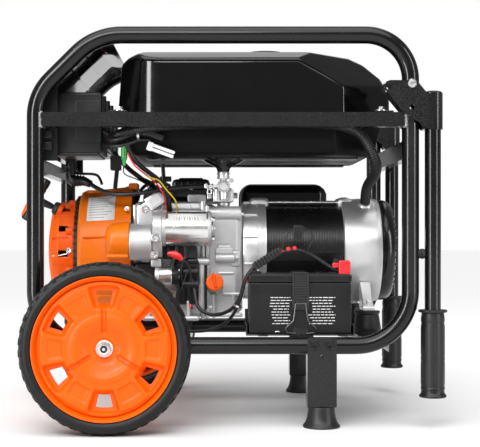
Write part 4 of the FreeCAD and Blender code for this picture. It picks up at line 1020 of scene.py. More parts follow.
# --- crankcase and its castings ---
def crankcase(bm):
    """Case body with ribs, pads, bosses and the raised joint face."""
    soft_box(bm, (-166, -34), (-98, 98), (180, 397), 12)
    soft_box(bm, (-40, -32), (-100.4, 100.4), (178, 398), 3)
    soft_box(bm, (-166.2, -158), (-104, 104), (196, 392), 3.4)
    for z in (206, 232, 300, 372):
        soft_box(bm, (-158, -40), (-101.4, -94), (z - 2.2, z + 2.2), 1.8)
    for x in (-138, -112, -86, -60):
        soft_box(bm, (x - 2, x + 2), (-101, -94), (190, 392), 1.6)
        soft_box(bm, (x - 2, x + 2), (94, 101), (190, 260), 1.6)
    for side in SIDES:
        soft_box(bm, (-146, -42), (side * MOUNT_Y - 24, side * MOUNT_Y + 24), (178, 187), 3.6)
        soft_box(bm, (-140, -132), (side * 110 - 26, side * 110 + 14), (183, 214), 3)
        soft_box(bm, (-66, -58), (side * 110 - 14, side * 110 + 14), (183, 214), 3)
    turned(bm, (0, -113, 286.3), "x", [(-54, 0), (-54, 6), (-53, 7), (-26, 7), (-24, 6), (-24, 0)], 32)
    soft_box(bm, (-45, -33), (-116, -96), (192, 288), 5)
    turned(bm, (0, -101, 375), "x", [(-110, 0), (-110, 8), (-108, 9), (-42, 9), (-40, 8), (-40, 0)], 32)
    soft_box(bm, (-160, -126), (-112, -96), (330, 392), 7)
    soft_box(bm, (-66, -30), (-64, -30), (390, 412), 4)


def cover_casting(bm):
    """Side cover: rounded face, oil neck, bosses, bolt towers and stiffening ribs."""
    soft_box(bm, (-31.6, -24), (-100, 100), (180, 390), 3)
    planes = [((38, 0, 0), (1, 0, 0))]
    for side in SIDES:
        planes.append(((26, side * 95, 0), (0.62, side * 0.78, 0)))
    planes.append(((26, 0, 386), (0.62, 0, 0.78)))
    planes.append(((26, 0, 186), (0.62, 0, -0.78)))
    hull(bm, faceted(planes, (-32, -95, 185), (38, 95, 387), 7), 7, 6)
    turned(bm, (0, -88, 375), "x", [
        (-26, 0), (-26, 12), (-24, 13.6), (33, 13.6), (35.6, 12), (36, 0)], 40)
    turned(bm, (0, -101, 292.4), "x", [(-13, 0), (-13, 8.4), (-12, 9.6), (22, 9.6), (24, 8), (24, 0)], 40)
    turned(bm, (0, -101, 292.4), "x", [(23, 0), (23, 5.6), (30, 5.6), (31, 4.6), (31, 0)], 6)
    turned(bm, (0, -98, 312.5), "x", [(-8, 0), (-8, 4.6), (-7, 5.6), (15, 5.6), (16, 4.6), (16, 0)], 32)
    soft_box(bm, (-12, 20), (-104, -92), (296, 312), 3)
    soft_box(bm, (16, 34), (-100, -90), (276, 306), 5)
    soft_box(bm, (-19.6, -11.6), (-108, -92), (181, 226), 3)
    soft_box(bm, (0, 34), (-99.5, -92), (222, 228), 2.4)
    soft_box(bm, (-8, 22), (-99, -92), (262, 266), 1.8)
    soft_box(bm, (18, 24), (-99.5, -92), (186, 226), 2.4)
    soft_box(bm, (-32, 38), (-101, -88), (182, 190), 3)
    turned(bm, OIL_NECK, OIL_NECK_IN, [
        (0, 9.6), (0, 13), (1, 14), (6, 14), (7.5, 13), (14, 13.4), (34, 17), (34, 9.6)], 40)
    for y, z in COVER_BOLTS:
        turned(bm, (0, y, z), "x", [(-30, 0), (-30, 7.4), (-20, 7.4), (-18, 6.4), (-18, 0)], 24)


def case_bolts(bm):
    """Bolts of the crankcase cover, of the castings beside it and of the mounts."""
    for y, z in COVER_BOLTS:
        bolt(bm, (-18, y, z), (1, 0, 0), 8.0, 6.0, 6.4)
    bolt(bm, (-142, -110.6, 382), (0, -1, 0), 9.0, 6.0, 7.4)
    bolt(bm, (-176.5, -111.4, 383.6), (0, -0.94, 0.34), 6.5, 4.0, 4.6)
    for side in SIDES:
        bolt(bm, (MOUNT_X[0], side * MOUNT_Y, 188), (0, 0, 1), 13.0, 9.0, 10)
        bolt(bm, (MOUNT_X[1], side * MOUNT_Y, 205), (0, 0, 1), 13.0, 8.0, 10)
    bolt(bm, (28, -88, 375), (1, 0, 0), 8.0, 12.0, 6.4)
    bolt(bm, (-150, -104, 352), (0, -1, 0), 9.0, 6.0, 7.4)
    bolt(bm, (-60, -101, 214), (0, -1, 0), 8.0, 5.5, 6.6)
    bolt(bm, (-128, -101, 214), (0, -1, 0), 8.0, 5.5, 6.6)


solid("crankcase_casting", crankcase, "cast_aluminium", stands_for=("crankcase",))
solid("crankcase_cover_casting", cover_casting, "cast_aluminium", stands_for=("crankcase_cover",))
solid("engine_bolts", case_bolts, "zinc_steel")


def oil_cap(bm):
    """Threaded cap with a raised, waisted finger tab."""
    out = -OIL_NECK_IN
    seat = OIL_NECK + out * 0.3
    turned(bm, seat, out, [
        (0, 0), (0, 15.4), (1, 16), (4.6, 16), (6.4, 15), (7, 13), (7, 11), (6, 10), (6, 0)], 64)
    face = seat + out * 6
    soft_box(bm, (face.x - 2.6, face.x + 2.6), (face.y - 9.4, face.y + 3), (face.z - 9, face.z + 17), 2.0,
             (-12, "Y", face))
    first, second = basis(out)[1:]
    for i in range(10):
        angle = 2 * math.pi * i / 10
        spot = seat + (first * math.cos(angle) + second * math.sin(angle)) * 15.4
        pipe(bm, [spot + out * 0.8, spot + out * 4.8], 1.3, 8)


solid("oil_filler_cap_body", oil_cap, "orange_plastic", body="oil_cap", stands_for=("oil_filler_cap",))


# --- electric starter ---
def starter_castings(bm):
    """Drive nose, offset flange, through-bolt lugs and the end frame."""
    turned(bm, (0, STARTER_Y, PINION_Z), "x", [
        (-168.6, 0), (-168.6, 32.4), (-166, 33.6), (-131, 33.6), (-128.6, 32.6), (-128, 31),
        (-128, 0)], 64)
    hull(bm, [(x, STARTER_Y, z) for x in (-126.5, -112.5) for z in (PINION_Z, MOTOR_Z)], 1.5, 3)
    outline = []
    for centre, radius in ((PINION_Z, 27.0), (MOTOR_Z, 33.0)):
        for k in range(24):
            angle = 2 * math.pi * k / 24
            for x in (-126, -111):
                outline.append((x, STARTER_Y + radius * math.cos(angle), centre + radius * math.sin(angle)))
    hull(bm, outline, 1.2, 2)
    soft_box(bm, (-130, -110), (-172, -150), (322, 336), 4)
    soft_box(bm, (-131, -116), (-160, -144), (292, 306), 4)
    turned(bm, MOTOR, "x", [
        (-111, 0), (-111, 31.4), (-109, 32.2), (-104, 32.2), (-103, 31.4), (-103, 0)], 64)
    turned(bm, MOTOR, "x", [
        (-26, 0), (-26, 32.2), (-22.4, 32.2), (-20.4, 31), (-19.6, 28.4), (-19.2, 14), (-17, 13),
        (-16.6, 9), (-16.6, 0)], 64)
    turned(bm, SOLENOID, "x", [(-123, 0), (-123, 18.4), (-118, 18.8), (-116, 17.6), (-116, 0)], 40)
    soft_box(bm, (-131, -111), (-142, -104), (276, 292), 4)


def starter_steel(bm):
    """Drawn motor can, solenoid can, through bolts and terminal studs."""
    turned(bm, MOTOR, "x", [(-104, 31.0), (-103, 31.8), (-60, 31.8), (-27, 31.8), (-25.6, 31)], 96)
    turned(bm, SOLENOID, "x", [(-120, 0), (-120, 17.3), (-94, 17.3), (-92.4, 16.6), (-92, 0)], 48)
    for side in SIDES:
        bolt(bm, (-20, STARTER_Y + side * 18, MOTOR_Z - side * 17), (1, 0, 0), 8.0, 7.0, 6.0)
        bolt(bm, (-80, -126 - side * 5, 263 + side * 6), (1, 0, 0), 6.4, 6.0, 5.0)
    bolt(bm, (-120, -172, 329), (0, -1, 0), 9.0, 6.0, 7.4)
    bolt(bm, (-123, -160, 299), (0, -1, 0), 9.0, 6.0, 7.4)


def starter_black(bm):
    """Plastic end cap of the starter's solenoid."""
    turned(bm, SOLENOID, "x", [(-92.4, 0), (-92.4, 16.4), (-84, 16.2), (-80, 14.6), (-79.6, 0)], 40)


solid("starter_castings", starter_castings, "cast_aluminium",
    stands_for=("starter_motor", "starter_relay"))
solid("starter_cans", starter_steel, "zinc_steel")
solid("solenoid_cap", starter_black, "black_plastic")
curved_label("starter_data_plate", (-98, -29), 32.0, 121, 158, "white_label", axis=MOTOR[1:])
for line in range(14):
    start = -88 + 3.2 * line + (line % 3)
    curved_label(f"starter_plate_bar_{line}", (start, start + 1.0 + 0.6 * (line % 2)), 32.35, 139, 152,
                 "grey_print", axis=MOTOR[1:], steps=8)


def regulator(bm):
    """Rectifier block with cooling fins on its face and a bolted ear, tilted on its bracket."""
    tilt = (-35, "Y", (-124, 0, 399))
    soft_box(bm, (-141, -107), (-117.6, -101), (386, 412), 2.4, tilt)
    soft_box(bm, (-137, -111), (-119.4, -116), (389, 409), 1.4, tilt)
    soft_box(bm, (-152, -132), (-109, -100), (390, 408), 3.6, tilt)


solid("rectifier_block", regulator, "bright_aluminium", stands_for=("voltage_regulator",))

# --- fuel valve ---
def valve_body(bm):
    """Turned valve body with its collar, filter cup and hose barb."""
    turned(bm, (VALVE_X, VALVE_Y, 0), "z", [
        (439, 0), (439, 10.6), (440.4, 11.6), (443, 11.6), (444, 10.4), (446, 10.4), (447, 11.6),
        (450.6, 11.6), (452, 10.6), (452, 0)], 12)
    turned(bm, (VALVE_X, VALVE_Y, 0), "z", [(418, 0), (418, 6), (440, 6), (440, 0)], 32)
    turned(bm, (VALVE_X, 0, VALVE_Z), "y", [
        (-109, 0), (-109, 10.6), (-107.6, 12), (-92.4, 12), (-91, 10.6), (-91, 0)], 48)
    turned(bm, (0, VALVE_Y, VALVE_Z), "x", [
        (-26, 0), (-26, 2.8), (-24, 3.6), (-21, 3), (-19, 3.6), (-15, 3), (0, 3), (0, 0)], 24)
    turned(bm, (VALVE_X, VALVE_Y, 0), "z", [
        (400, 0), (400, 5), (401.4, 7.4), (414, 8), (416, 8), (418, 6), (418, 0)], 32)
    hull(bm, [(2, -108, 425), (17, -108, 436), (2, -105, 425), (17, -105, 436)], 1.4, 3)
    turned(bm, (17, 0, 436), "y", [(-110, 0), (-110, 3.6), (-106, 4), (-104, 4), (-104, 0)], 20)


def valve_lever(bm):
    """The valve's round hub with a flat lever and its end."""
    turned(bm, (VALVE_X, 0, VALVE_Z), "y", [
        (-113.4, 0), (-113.4, 7.4), (-112, 8.8), (-109.5, 9), (-109.5, 0)], 40)
    soft_box(bm, (-30, 4), (-113.2, -111), (423.6, 426.8), 0.9)
    soft_box(bm, (-33, -27), (-119, -111), (420.6, 429.6), 1.6)


solid("fuel_valve_body", valve_body, "bright_aluminium", stands_for=("fuel_valve",))
solid("fuel_valve_handle", valve_lever, "bright_aluminium", body="valve_lever",
    stands_for=("fuel_valve_lever",))


# --- alternator ---
def front_housing(bm):
    """Bell casting next to the engine, with ears for the tie rods."""
    turned(bm, CRANK, "x", [
        (38.4, 17), (38.4, 88), (39.4, 91), (42, 92.6), (52, 93.4), (60, 94.2), (66, 94.4), (67, 95.2),
        (76, 95.2), (77, 94.6), (83, 94.6), (83, 84), (60, 80), (46, 30), (46, 17)], 128, closed=True)
    for y, z in TIE_PLACES:
        hull(bm, [
            (x, y, z) for x in (62, 81.5)] + [
            (x, math.copysign(21, y), CRANK_Z + math.copysign(80, z - CRANK_Z)) for x in (62, 81.5)],
            9.2, 5)
    boxes_round_crank(bm, range(15, 375, 30), (40, 66), 1.6, (80, 97), 1.4)


def rear_housing(bm):
    """Bearing casting with ears for the tie rods, mounting feet and the conduit socket."""
    turned(bm, CRANK, "x", [
        (228, 84), (228, 96.6), (229.4, 98.4), (235, 98.8), (258, 98.8), (259, 99.4), (290, 99.4),
        (291, 98.8), (297, 98.6), (299, 97), (299, 93), (236, 93), (234, 84)], 128, closed=True)
    for y, z in TIE_PLACES:
        hull(bm, [
            (x, y, z) for x in (229.5, 238)] + [
            (x, math.copysign(21, y), CRANK_Z + math.copysign(82, z - CRANK_Z)) for x in (229.5, 262)],
            9.2, 5)
    for side in SIDES:
        soft_box(bm, (255, 279), (side * MOUNT_Y - 22, side * MOUNT_Y + 22), (196, 204.4), 2.6)
        hull(bm, [
            (x, side * y, z)
            for x in (260, 274)
            for y, z in ((132, 203), (82, 203), (74, 236), (84, 244))], 3.2, 4)
        soft_box(bm, (264, 270), (side * 112 - 20, side * 112 + 20), (200, 216), 2.4)
    turned(bm, (272, -50, 396), (0, 1, -1), [
        (-2, 0), (-2, 12), (0, 13.4), (6, 13.4), (7, 12), (16, 12), (16, 0)], 32)


def stator_drum(bm):
    """Painted core with shallow lamination steps along its length."""
    profile = [(83, 80), (83, 88.4)]
    for i in range(29):
        x = 84 + 5 * i
        profile += [(x, 89), (x + 3.4, 89), (x + 4, 88.75), (x + 4.6, 88.75)]
    profile += [(228, 88.4), (228, 80)]
    turned(bm, CRANK, "x", profile, 96)
    boxes_round_crank(bm, (8, 98, 188, 278), (84, 227), 7, (86, 90.3), 1.2)


def end_cover(bm):
    """Domed cover with moulded teeth round its edge and a louvred face."""
    turned(bm, CRANK, "x", [
        (298.6, 92), (298.6, 95.8), (299.4, 97.2), (306, 97.2), (314, 95.6), (320, 92.4), (323.6, 88),
        (325.4, 83), (326, 78), (326, 72), (324.8, 70), (324.8, 30), (326, 28), (326, 0)], 120)
    boxes_round_crank(bm, range(0, 360, 9), (322, 327.2), 1.6, (78, 87), 0.8)
    boxes_round_crank(bm, range(0, 360, 18), (324, 327), 1.5, (33, 68), 1.0)


def tie_bars(bm):
    """Long rods that clamp the stator between its castings."""
    for y, z in TIE_PLACES:
        turned(bm, (0, y, z), "x", [(60, 0), (60, 2.9), (239, 2.9), (239, 0)], 20)
        bolt(bm, (238.6, y, z), (1, 0, 0), 9.0, 7.0, 6.8)


solid("alternator_front_casting", front_housing, "bright_aluminium",
    stands_for=("alternator_front_housing",))
solid("alternator_rear_casting", rear_housing, "bright_aluminium",
    stands_for=("alternator_rear_housing",))
solid("stator_drum", stator_drum, "stator_paint", stands_for=("stator",))
solid("alternator_louvred_cover", end_cover, "black_frame_paint", stands_for=("alternator_end_cover",))
solid("clamp_bolts", tie_bars, "zinc_steel", stands_for=("tie_rods",))


# --- battery ---
def battery_case(bm):
    """Case, lid and terminal blocks with a row of plugs on top."""
    soft_box(bm, (46, 227), (-214, -137), (160, 250.4), 3.2)
    soft_box(bm, (45, 228), (-215, -136), (250.8, 265), 3.0)
    soft_box(bm, (50, 223), (-210, -141), (262, 267), 2.0)
    for x in (60, 213):
        soft_box(bm, (x - 8.5, x + 8.5), (-206, -190), (262, 271), 2.0)
    for i in range(6):
        turned(bm, (76 + 24 * i, -160, 0), "z", [(266, 8.6), (267.6, 8), (267.6, 0)], 24)


def battery_posts(bm):
    """Bright terminal posts."""
    for x in (60, 213):
        soft_box(bm, (x - 5, x + 5), (-202, -194), (269, 276), 1.2)


def strap(bm):
    """Ribbed rubber strap with a tapering tongue at the front."""
    front, back, width = -219.0, -132.0, 13.0
    soft_box(bm, (STRAP_X - width, STRAP_X + width), (front, front + 4.2), (203, 269), 1.6)
    soft_box(bm, (STRAP_X - width, STRAP_X + width), (front, back), (265, 269.4), 1.8)
    soft_box(bm, (STRAP_X - width, STRAP_X + width), (back - 4, back), (200, 269), 1.6)
    for i in range(9):
        z = 208 + 4.6 * i
        soft_box(bm, (STRAP_X - width + 1.5, STRAP_X + width - 1.5), (front - 1.1, front + 1),
            (z, z + 2.4), 0.9)
    for side in SIDES:
        soft_box(bm, (STRAP_X + side * width - 1.5, STRAP_X + side * width + 1.5),
            (front - 1.6, front + 3), (206, 268), 1.2)


def strap_bail(bm):
    """Wire hook that holds the strap's tongue to the tray's lip."""
    y = -219.6
    for side in SIDES:
        pipe(bm, [
            (STRAP_X + side * 9, y, 214), (STRAP_X + side * 11, y, 196),
            (STRAP_X + side * 13, y - 0.3, 184), (STRAP_X + side * 27, y - 0.4, 171),
            (STRAP_X + side * 24, y, 163), (STRAP_X + side * 10, y, 162)], 1.4, 10)
    pipe(bm, [(127, y, 214), (147, y, 214)], 1.4, 10)


def tray(bm):
    """Bent sheet tray with a back, two ends, a front tab and two ears."""
    soft_box(bm, (41, 232), (-217, -134), (157.4, 160.2), 1.2)
    soft_box(bm, (41, 232), (-136.2, -134), (157.4, 200), 0.9)
    for pair in ((41, 43.2), (229.8, 232)):
        soft_box(bm, pair, (-217, -134), (157.4, 176), 0.9)
    soft_box(bm, (124, 150), (-217.2, -215), (157.4, 172), 0.9)
    for x in (70, 210):
        soft_box(bm, (x - 9, x + 9), (-231, -213), (157.4, 160.2), 1.2)


solid("battery_case", battery_case, "battery_plastic", stands_for=("battery",))
solid("battery_terminals", battery_posts, "zinc_steel")
solid("battery_strap_rubber", strap, "black_rubber", stands_for=("battery_strap",))
solid("battery_strap_bail", strap_bail, "dark_steel")
solid("battery_tray_sheet", tray, "black_frame_paint", stands_for=("battery_tray",))


def print_bars(name, x, seed, rows=10, top=224.0, pitch=5.1, y=(-214.45, -214.1)):
    """Stand-in for printed lines on the battery: rows of short flat bars of mixed length."""
    rand = random.Random(seed)
    bm = bmesh.new()
    for row in range(rows):
        place = x[0] + rand.uniform(0, 9)
        end = x[1] - rand.uniform(0, 9)
        level = top - row * pitch
        while place < end:
            word = rand.uniform(3.0, 9.0)
            block(bm, (place, min(place + word, end)), y, (level, level + pitch * 0.24))
            place += word + 1.6
    piece(name, bm, "white_label")


print_bars("battery_notice_left", (82, 124), seed=3)
print_bars("battery_notice_right", (150, 199), seed=4)


# --- frame hardware ---
def bead(bm, points, radius, seed):
    """A rough weld: overlapping drops along a line."""
    rand = random.Random(seed)
    for a, b in zip(points, points[1:]):
        a, b = Vector(a), Vector(b)
        count = max(2, int((b - a).length / (radius * 0.9)))
        for i in range(count):
            spot = a.lerp(b, (i + rand.uniform(-0.2, 0.2)) / count)
            size = radius * rand.uniform(0.8, 1.15)
            bmesh.ops.create_icosphere(bm, subdivisions=2, radius=size, matrix=Matrix.Translation(spot))


def weld_beads(bm):
    """Beads round the rungs' ends, inside the loops' posts and along the mount rails."""
    low, high = RUNG_Z
    for side in SIDES:
        front = side * (LOOP_Y + 12.5)
        back = side * (LOOP_Y - 12.5)
        for end in (-1, 1):
            x = end * (LOOP_X - 9.5)
            bead(bm, [(x, front, low), (x, front, high)], 2.7, 11 + end)
            bead(bm, [(x - end * 2, front, high), (x - end * 5, back, high)], 2.4, 17 + end)
            bead(bm, [(x - end * 2, front, low), (x - end * 5, back, low)], 2.4, 23 + end)
        for end, low_z, high_z in ((-1, 446, 468), (1, 468, 500)):
            x = end * LOOP_X
            y = side * (LOOP_Y - 14.5)
            bead(bm, [(x + 10, y, low_z), (x + 10, y, high_z)], 2.0, 31 + end)
            bead(bm, [(x - 10, y, low_z), (x - 10, y, high_z)], 2.0, 37 + end)
        for x in MOUNT_X:
            for edge in (-26, 26):
                z = 156 if x < 0 or edge < 0 else 160
                bead(bm, [(x + edge, side * 217, 152), (x + edge, side * 224, z)], 2.0, 41 + edge)
        bead(bm, [(-230, side * 251, 150), (-167, side * 251, 150)], 2.2, 53)


def hinge_and_leg_bolts(bm):
    """Hex flange bolts: two on each leg and one in each handle hinge."""
    for side in SIDES:
        for x in (LEG_X - 13, LEG_X + 13):
            bolt(bm, (x, side * 252.6, 144), (0, side, 0), 10.5, 6.5, 8.4)
        bolt(bm, (LOOP_X, side * 215.4, 597), (0, -side, 0), 12.0, 8.0, 8.6)


def bright_bolts(bm):
    """Plated bolts at the handle hinges and the tank's ears."""
    for side in SIDES:
        bolt(bm, (LOOP_X, side * 254.6, 597), (0, side, 0), 11.0, 6.5, 7.6)
        for x in (-181, 276):
            bolt(bm, (x, side * LOOP_Y, 551.3), (0, 0, 1), 11.0, 7.5, 9.6)


def wheel_nuts(bm):
    """Washer, nut and axle end in the middle of each wheel."""
    for side in SIDES:
        face = side * WHEEL_FACE
        turned(bm, (WHEEL_X, face, WHEEL_Z), (0, side, 0), [
            (-19.6, 6.2), (-19.6, 13.6), (-18.8, 14.4), (-17.6, 14.4), (-17, 13.6), (-17, 6.2)], 48,
            closed=True)
        turned(bm, (WHEEL_X, face, WHEEL_Z), (0, side, 0), [
            (-17, 6.2), (-17, 12.2), (-11, 12.4), (-9.8, 11.2), (-9.4, 9), (-9.4, 6.2)], 6, closed=True)
        turned(bm, (WHEEL_X, face, WHEEL_Z), (0, side, 0), [
            (-20, 0), (-20, 5.9), (-9, 5.9), (-8.2, 5.2), (-7.8, 0)], 32)


def legs(side):
    """Folded channel with rounded folds, flanges short of the tube and a pressed dimple."""
    def build(bm):
        low_x, high_x = LEG_X - 25.5, LEG_X + 25.5
        soft_box(bm, (low_x, high_x), (-252.6, -249.6), (36, 156), 1.4)
        soft_box(bm, (low_x, low_x + 3), (-252, -219), (36, 127), 1.3)
        soft_box(bm, (high_x - 3, high_x), (-252, -219), (36, 127), 1.3)
        soft_box(bm, (low_x, high_x), (-221.6, -219), (36, 127), 1.2)
        turned(bm, (LEG_X, -252.2, 124), "y", [(-1.6, 0), (-1.4, 3), (-0.4, 4.6), (0.4, 5), (0.4, 0)], 24)
        flipped(bm, side)
    which = side_name(side)
    solid(f"{which}_leg_channel", build, "black_frame_paint", stands_for=(f"{which}_leg",))


def rubber_feet(bm):
    """Flared feet pushed over the ends of the legs."""
    for side in SIDES:
        turned(bm, (LEG_X, side * 236, 0), "z", [
            (0, 0), (0, 30.8), (0.8, 31.9), (2.4, 32.5), (4.2, 31.9), (7, 29.4), (11, 27.2), (18, 25),
            (27, 23.6), (34, 23.2), (36, 22.4), (36, 0)], 64)
        soft_box(bm, (LEG_X - 21, LEG_X + 21), (side * 236 - 13, side * 236 + 13), (30, 52), 2.5)


def handle_grips(side):
    """Moulded grip: guard flange on top, ring beads, shallow side panels and a flared lip."""
    def build(bm):
        turned(bm, (HANDLE_X, -LOOP_Y, 0), "z", [
            (52, 0), (52, 21.6), (52.8, 23.2), (54.6, 23.7), (56.6, 23), (59, 20.8), (61, 20.2),
            (66, 20.2), (67, 21), (69, 21), (70, 20.3), (74, 20.4), (118, 20.5), (119, 21), (121, 21),
            (122, 20.5), (178, 20.5), (180, 19.8), (183, 19.8), (184.6, 20.5), (192, 20.5),
            (194, 19.6), (198.6, 19.4), (199.6, 21), (200.4, 24.4), (201.4, 25), (203.6, 25),
            (204.5, 24), (204.5, 14.05)], 72)
        for i in range(8):
            angle = 2 * math.pi * i / 8
            x, y = HANDLE_X + 20.2 * math.cos(angle), -LOOP_Y + 20.2 * math.sin(angle)
            for low, high in ((76, 114), (126, 174)):
                pipe(bm, [(x, y, low), (x, y, high)], 1.0, 8)
        flipped(bm, side)
    which = side_name(side)
    solid(f"{which}_grip_moulding", build, "black_rubber", body=f"{which}_carry_handle",
          stands_for=(f"{which}_handle_grip",))


def handle_caps(side):
    """Domed plug that closes the sleeve above the handle tube."""
    def build(bm):
        turned(bm, (HANDLE_X, -LOOP_Y, 0), "z", [
            (581, 0), (581, 16.6), (582.4, 16.4), (584, 15), (585.4, 11), (586, 0)], 48)
        flipped(bm, side)
    which = side_name(side)
    solid(f"{which}_handle_plug", build, "black_plastic", body=f"{which}_carry_handle")


def mounts(bm):
    """Bonded rubber blocks with metal cups above and below."""
    for x, top, radius in zip(MOUNT_X, (178, 196), (22, 27)):
        for side in SIDES:
            turned(bm, (x, side * MOUNT_Y, 0), "z", [
                (156.2, 0), (156.2, radius), (158.4, radius), (159.4, radius - 2.6), (162, radius - 1.6),
                (166, radius - 2), (top - 12, radius - 5), (top - 7, radius - 6), (top - 5, radius - 4),
                (top - 2, radius - 3.6), (top - 0.6, radius - 4.4), (top - 0.6, 0)], 64)


def mount_studs(bm):
    """Nuts above and below the four rubber mounts."""
    for x, top in zip(MOUNT_X, (187.6, 204.6)):
        for side in SIDES:
            bolt(bm, (x, side * MOUNT_Y, top), (0, 0, 1), 13.0, 10.0, 11.0)
            bolt(bm, (x, side * MOUNT_Y, 153), (0, 0, -1), 13.0, 9.0, 11.0)


def bumpers(bm):
    """Grooved stops that the folded handles rest on."""
    for side in SIDES:
        turned(bm, (0, side * LOOP_Y, 302), "x", [
            (337, 0), (337, 8.4), (341.6, 9), (342.4, 8), (344.4, 8), (345.2, 9), (350, 8.8),
            (351.6, 7.6), (351.6, 0)], 40)


solid("weld_beads", weld_beads, "weld_metal")
solid("frame_fasteners", hinge_and_leg_bolts, "black_frame_paint", stands_for=("frame_bolts",))
solid("bright_fasteners", bright_bolts, "zinc_steel")
solid("wheel_nuts_and_washers", wheel_nuts, "zinc_steel", stands_for=("axle_nuts",))
solid("rubber_feet", rubber_feet, "black_rubber", stands_for=("feet",))
solid("bonded_mounts", mounts, "black_rubber", stands_for=("rubber_mounts",))
solid("mount_nuts", mount_studs, "zinc_steel")
solid("handle_stops", bumpers, "black_rubber", stands_for=("handle_bumpers",))
for hand in SIDES:
    legs(hand)
    handle_grips(hand)
    handle_caps(hand)


# --- engine top: filter, carburettor, cylinder, silencer ---
def filter_box(bm):
    """Ribbed two-part box on its inlet neck, with clips at both ends."""
    soft_box(bm, (-98, -20), (-62, 50), (404, 420), 6)
    soft_box(bm, (-100, -18), (-64, 52), (416, 421), 2.2)
    soft_box(bm, (-95, -23), (-59, 47), (419, 441), 8)
    soft_box(bm, (-82, -36), (-44, 32), (439, 443.6), 2.4)
    for x in (-88, -76, -64, -52, -40, -28):
        soft_box(bm, (x - 1.3, x + 1.3), (-60.4, -56), (424, 436), 1.0)
    turned(bm, (-59, -6, 0), "z", [(398, 0), (398, 14), (406, 14), (406, 0)], 40)
    for x in (-101.4, -18.6):
        soft_box(bm, (x - 1.6, x + 1.6), (-16, 4), (412, 434), 1.2)


def filter_stay(bm):
    """Bent strap that ties the filter box to the case."""
    soft_box(bm, (-111, -104), (-62, -44), (398, 470), 1.6, (-4, "Y", (-107, -50, 398)))
    soft_box(bm, (-118, -96), (-58, -48), (436, 446), 1.4)
    soft_box(bm, (-120, -104), (-64, -40), (397.5, 402), 1.4)


def carburettor(bm):
    """Body with flanges, float bowl, screws and the intake pipe behind it."""
    soft_box(bm, (-14, 20), (-60, -16), (396, 424), 4.5)
    soft_box(bm, (-17, -11), (-58, -18), (397, 427), 2.2)
    soft_box(bm, (16, 22), (-56, -20), (398, 420), 2.0)
    turned(bm, (3, -38, 0), "z", [
        (388.4, 0), (388.4, 9), (390, 11.6), (392, 12), (399, 12), (400, 13.2), (402, 13.2), (402, 0)],
        40)
    turned(bm, (0, -38, 410), "x", [(20, 0), (20, 6.3), (28.6, 6.3), (29.8, 5.2), (29.8, 0)], 6)
    turned(bm, (10, 0, 404), "y", [(-66, 0), (-66, 3.4), (-64.6, 4.2), (-60, 4.2), (-60, 0)], 24)
    turned(bm, (-6, 0, 418), "y", [(-64, 0), (-64, 2.4), (-60, 2.4), (-60, 0)], 20)
    pipe(bm, [
        (3, -20, 412), (3, 100, 412), (3, 126, 411.4), (0, 140, 410), (-10, 145, 408.4),
        (-41, 145, 408)], 10, 24)
    for y in (-14, 24):
        turned(bm, (3, 0, 412), "y", [(y, 0), (y, 14), (y + 5, 14), (y + 5, 0)], 32)


def choke(bm):
    """Short lever with a finger tab."""
    turned(bm, (3, 0, 414), "y", [(-68, 0), (-68, 5), (-66.8, 6), (-60.6, 6), (-60.6, 0)], 32)
    soft_box(bm, (0.6, 5.4), (-68, -65.2), (412, 438), 1.1)
    soft_box(bm, (-2, 8), (-74, -63.4), (436, 444), 2.4)


HEAD_TILT = (25, "X", (-98, 0, CRANK_Z))  # the cylinder leans back from the case


def tilted(bm, x, y, z, radius, steps=3):
    """A rounded block in the leaning cylinder's own frame."""
    soft_box(bm, x, y, z, radius, HEAD_TILT, steps)


def cylinder_casting(bm):
    """Fins round the barrel and the head with its four bolt towers."""
    for i in range(6):
        tilted(bm, (-158, -38), (120 + 8 * i, 122.6 + 8 * i), (246, 366), 1.1)
    tilted(bm, (-142, -54), (104, 168), (262, 350), 10)
    tilted(bm, (-154, -42), (166, 181), (250, 362), 4)
    for x in (-146, -50):
        for z in (258, 354):
            tilted(bm, (x - 6, x + 6), (164, 188), (z - 6, z + 6), 4)


def rocker_box(bm):
    """Pressed cover on the head and its flange."""
    tilted(bm, (-140, -56), (181, 198), (264, 348), 7, 4)
    tilted(bm, (-144, -52), (180, 184), (260, 352), 1.8)


def head_bolts(bm):
    """Bolts of the head and of its cover, leaning with the cylinder."""
    angle, axis, centre = HEAD_TILT
    spin = Matrix.Rotation(math.radians(angle), 3, axis)
    centre = Vector(centre)
    places = [(x, 188, z) for x in (-146, -50) for z in (258, 354)] + [(-98, 184, z) for z in (262, 350)]
    for place in places:
        bolt(bm, spin @ (Vector(place) - centre) + centre, spin @ Vector((0, 1, 0)), 9.0, 6.0, 7.4)


def rounded_plate(bm, x, y, z, corner):
    """A flat plate standing along X and Z with well rounded corners."""
    points = []
    for cx, cz, start in ((x[1], z[1], 0), (x[0], z[1], 90), (x[0], z[0], 180), (x[1], z[0], 270)):
        middle_x = cx - corner if cx == x[1] else cx + corner
        middle_z = cz - corner if cz == z[1] else cz + corner
        for k in range(9):
            angle = math.radians(start + 90 * k / 8)
            across = middle_x + (corner - 1) * math.cos(angle)
            up = middle_z + (corner - 1) * math.sin(angle)
            points += [(across, y[0] + 1, up), (across, y[1] - 1, up)]
    hull(bm, points, 1.0, 3)


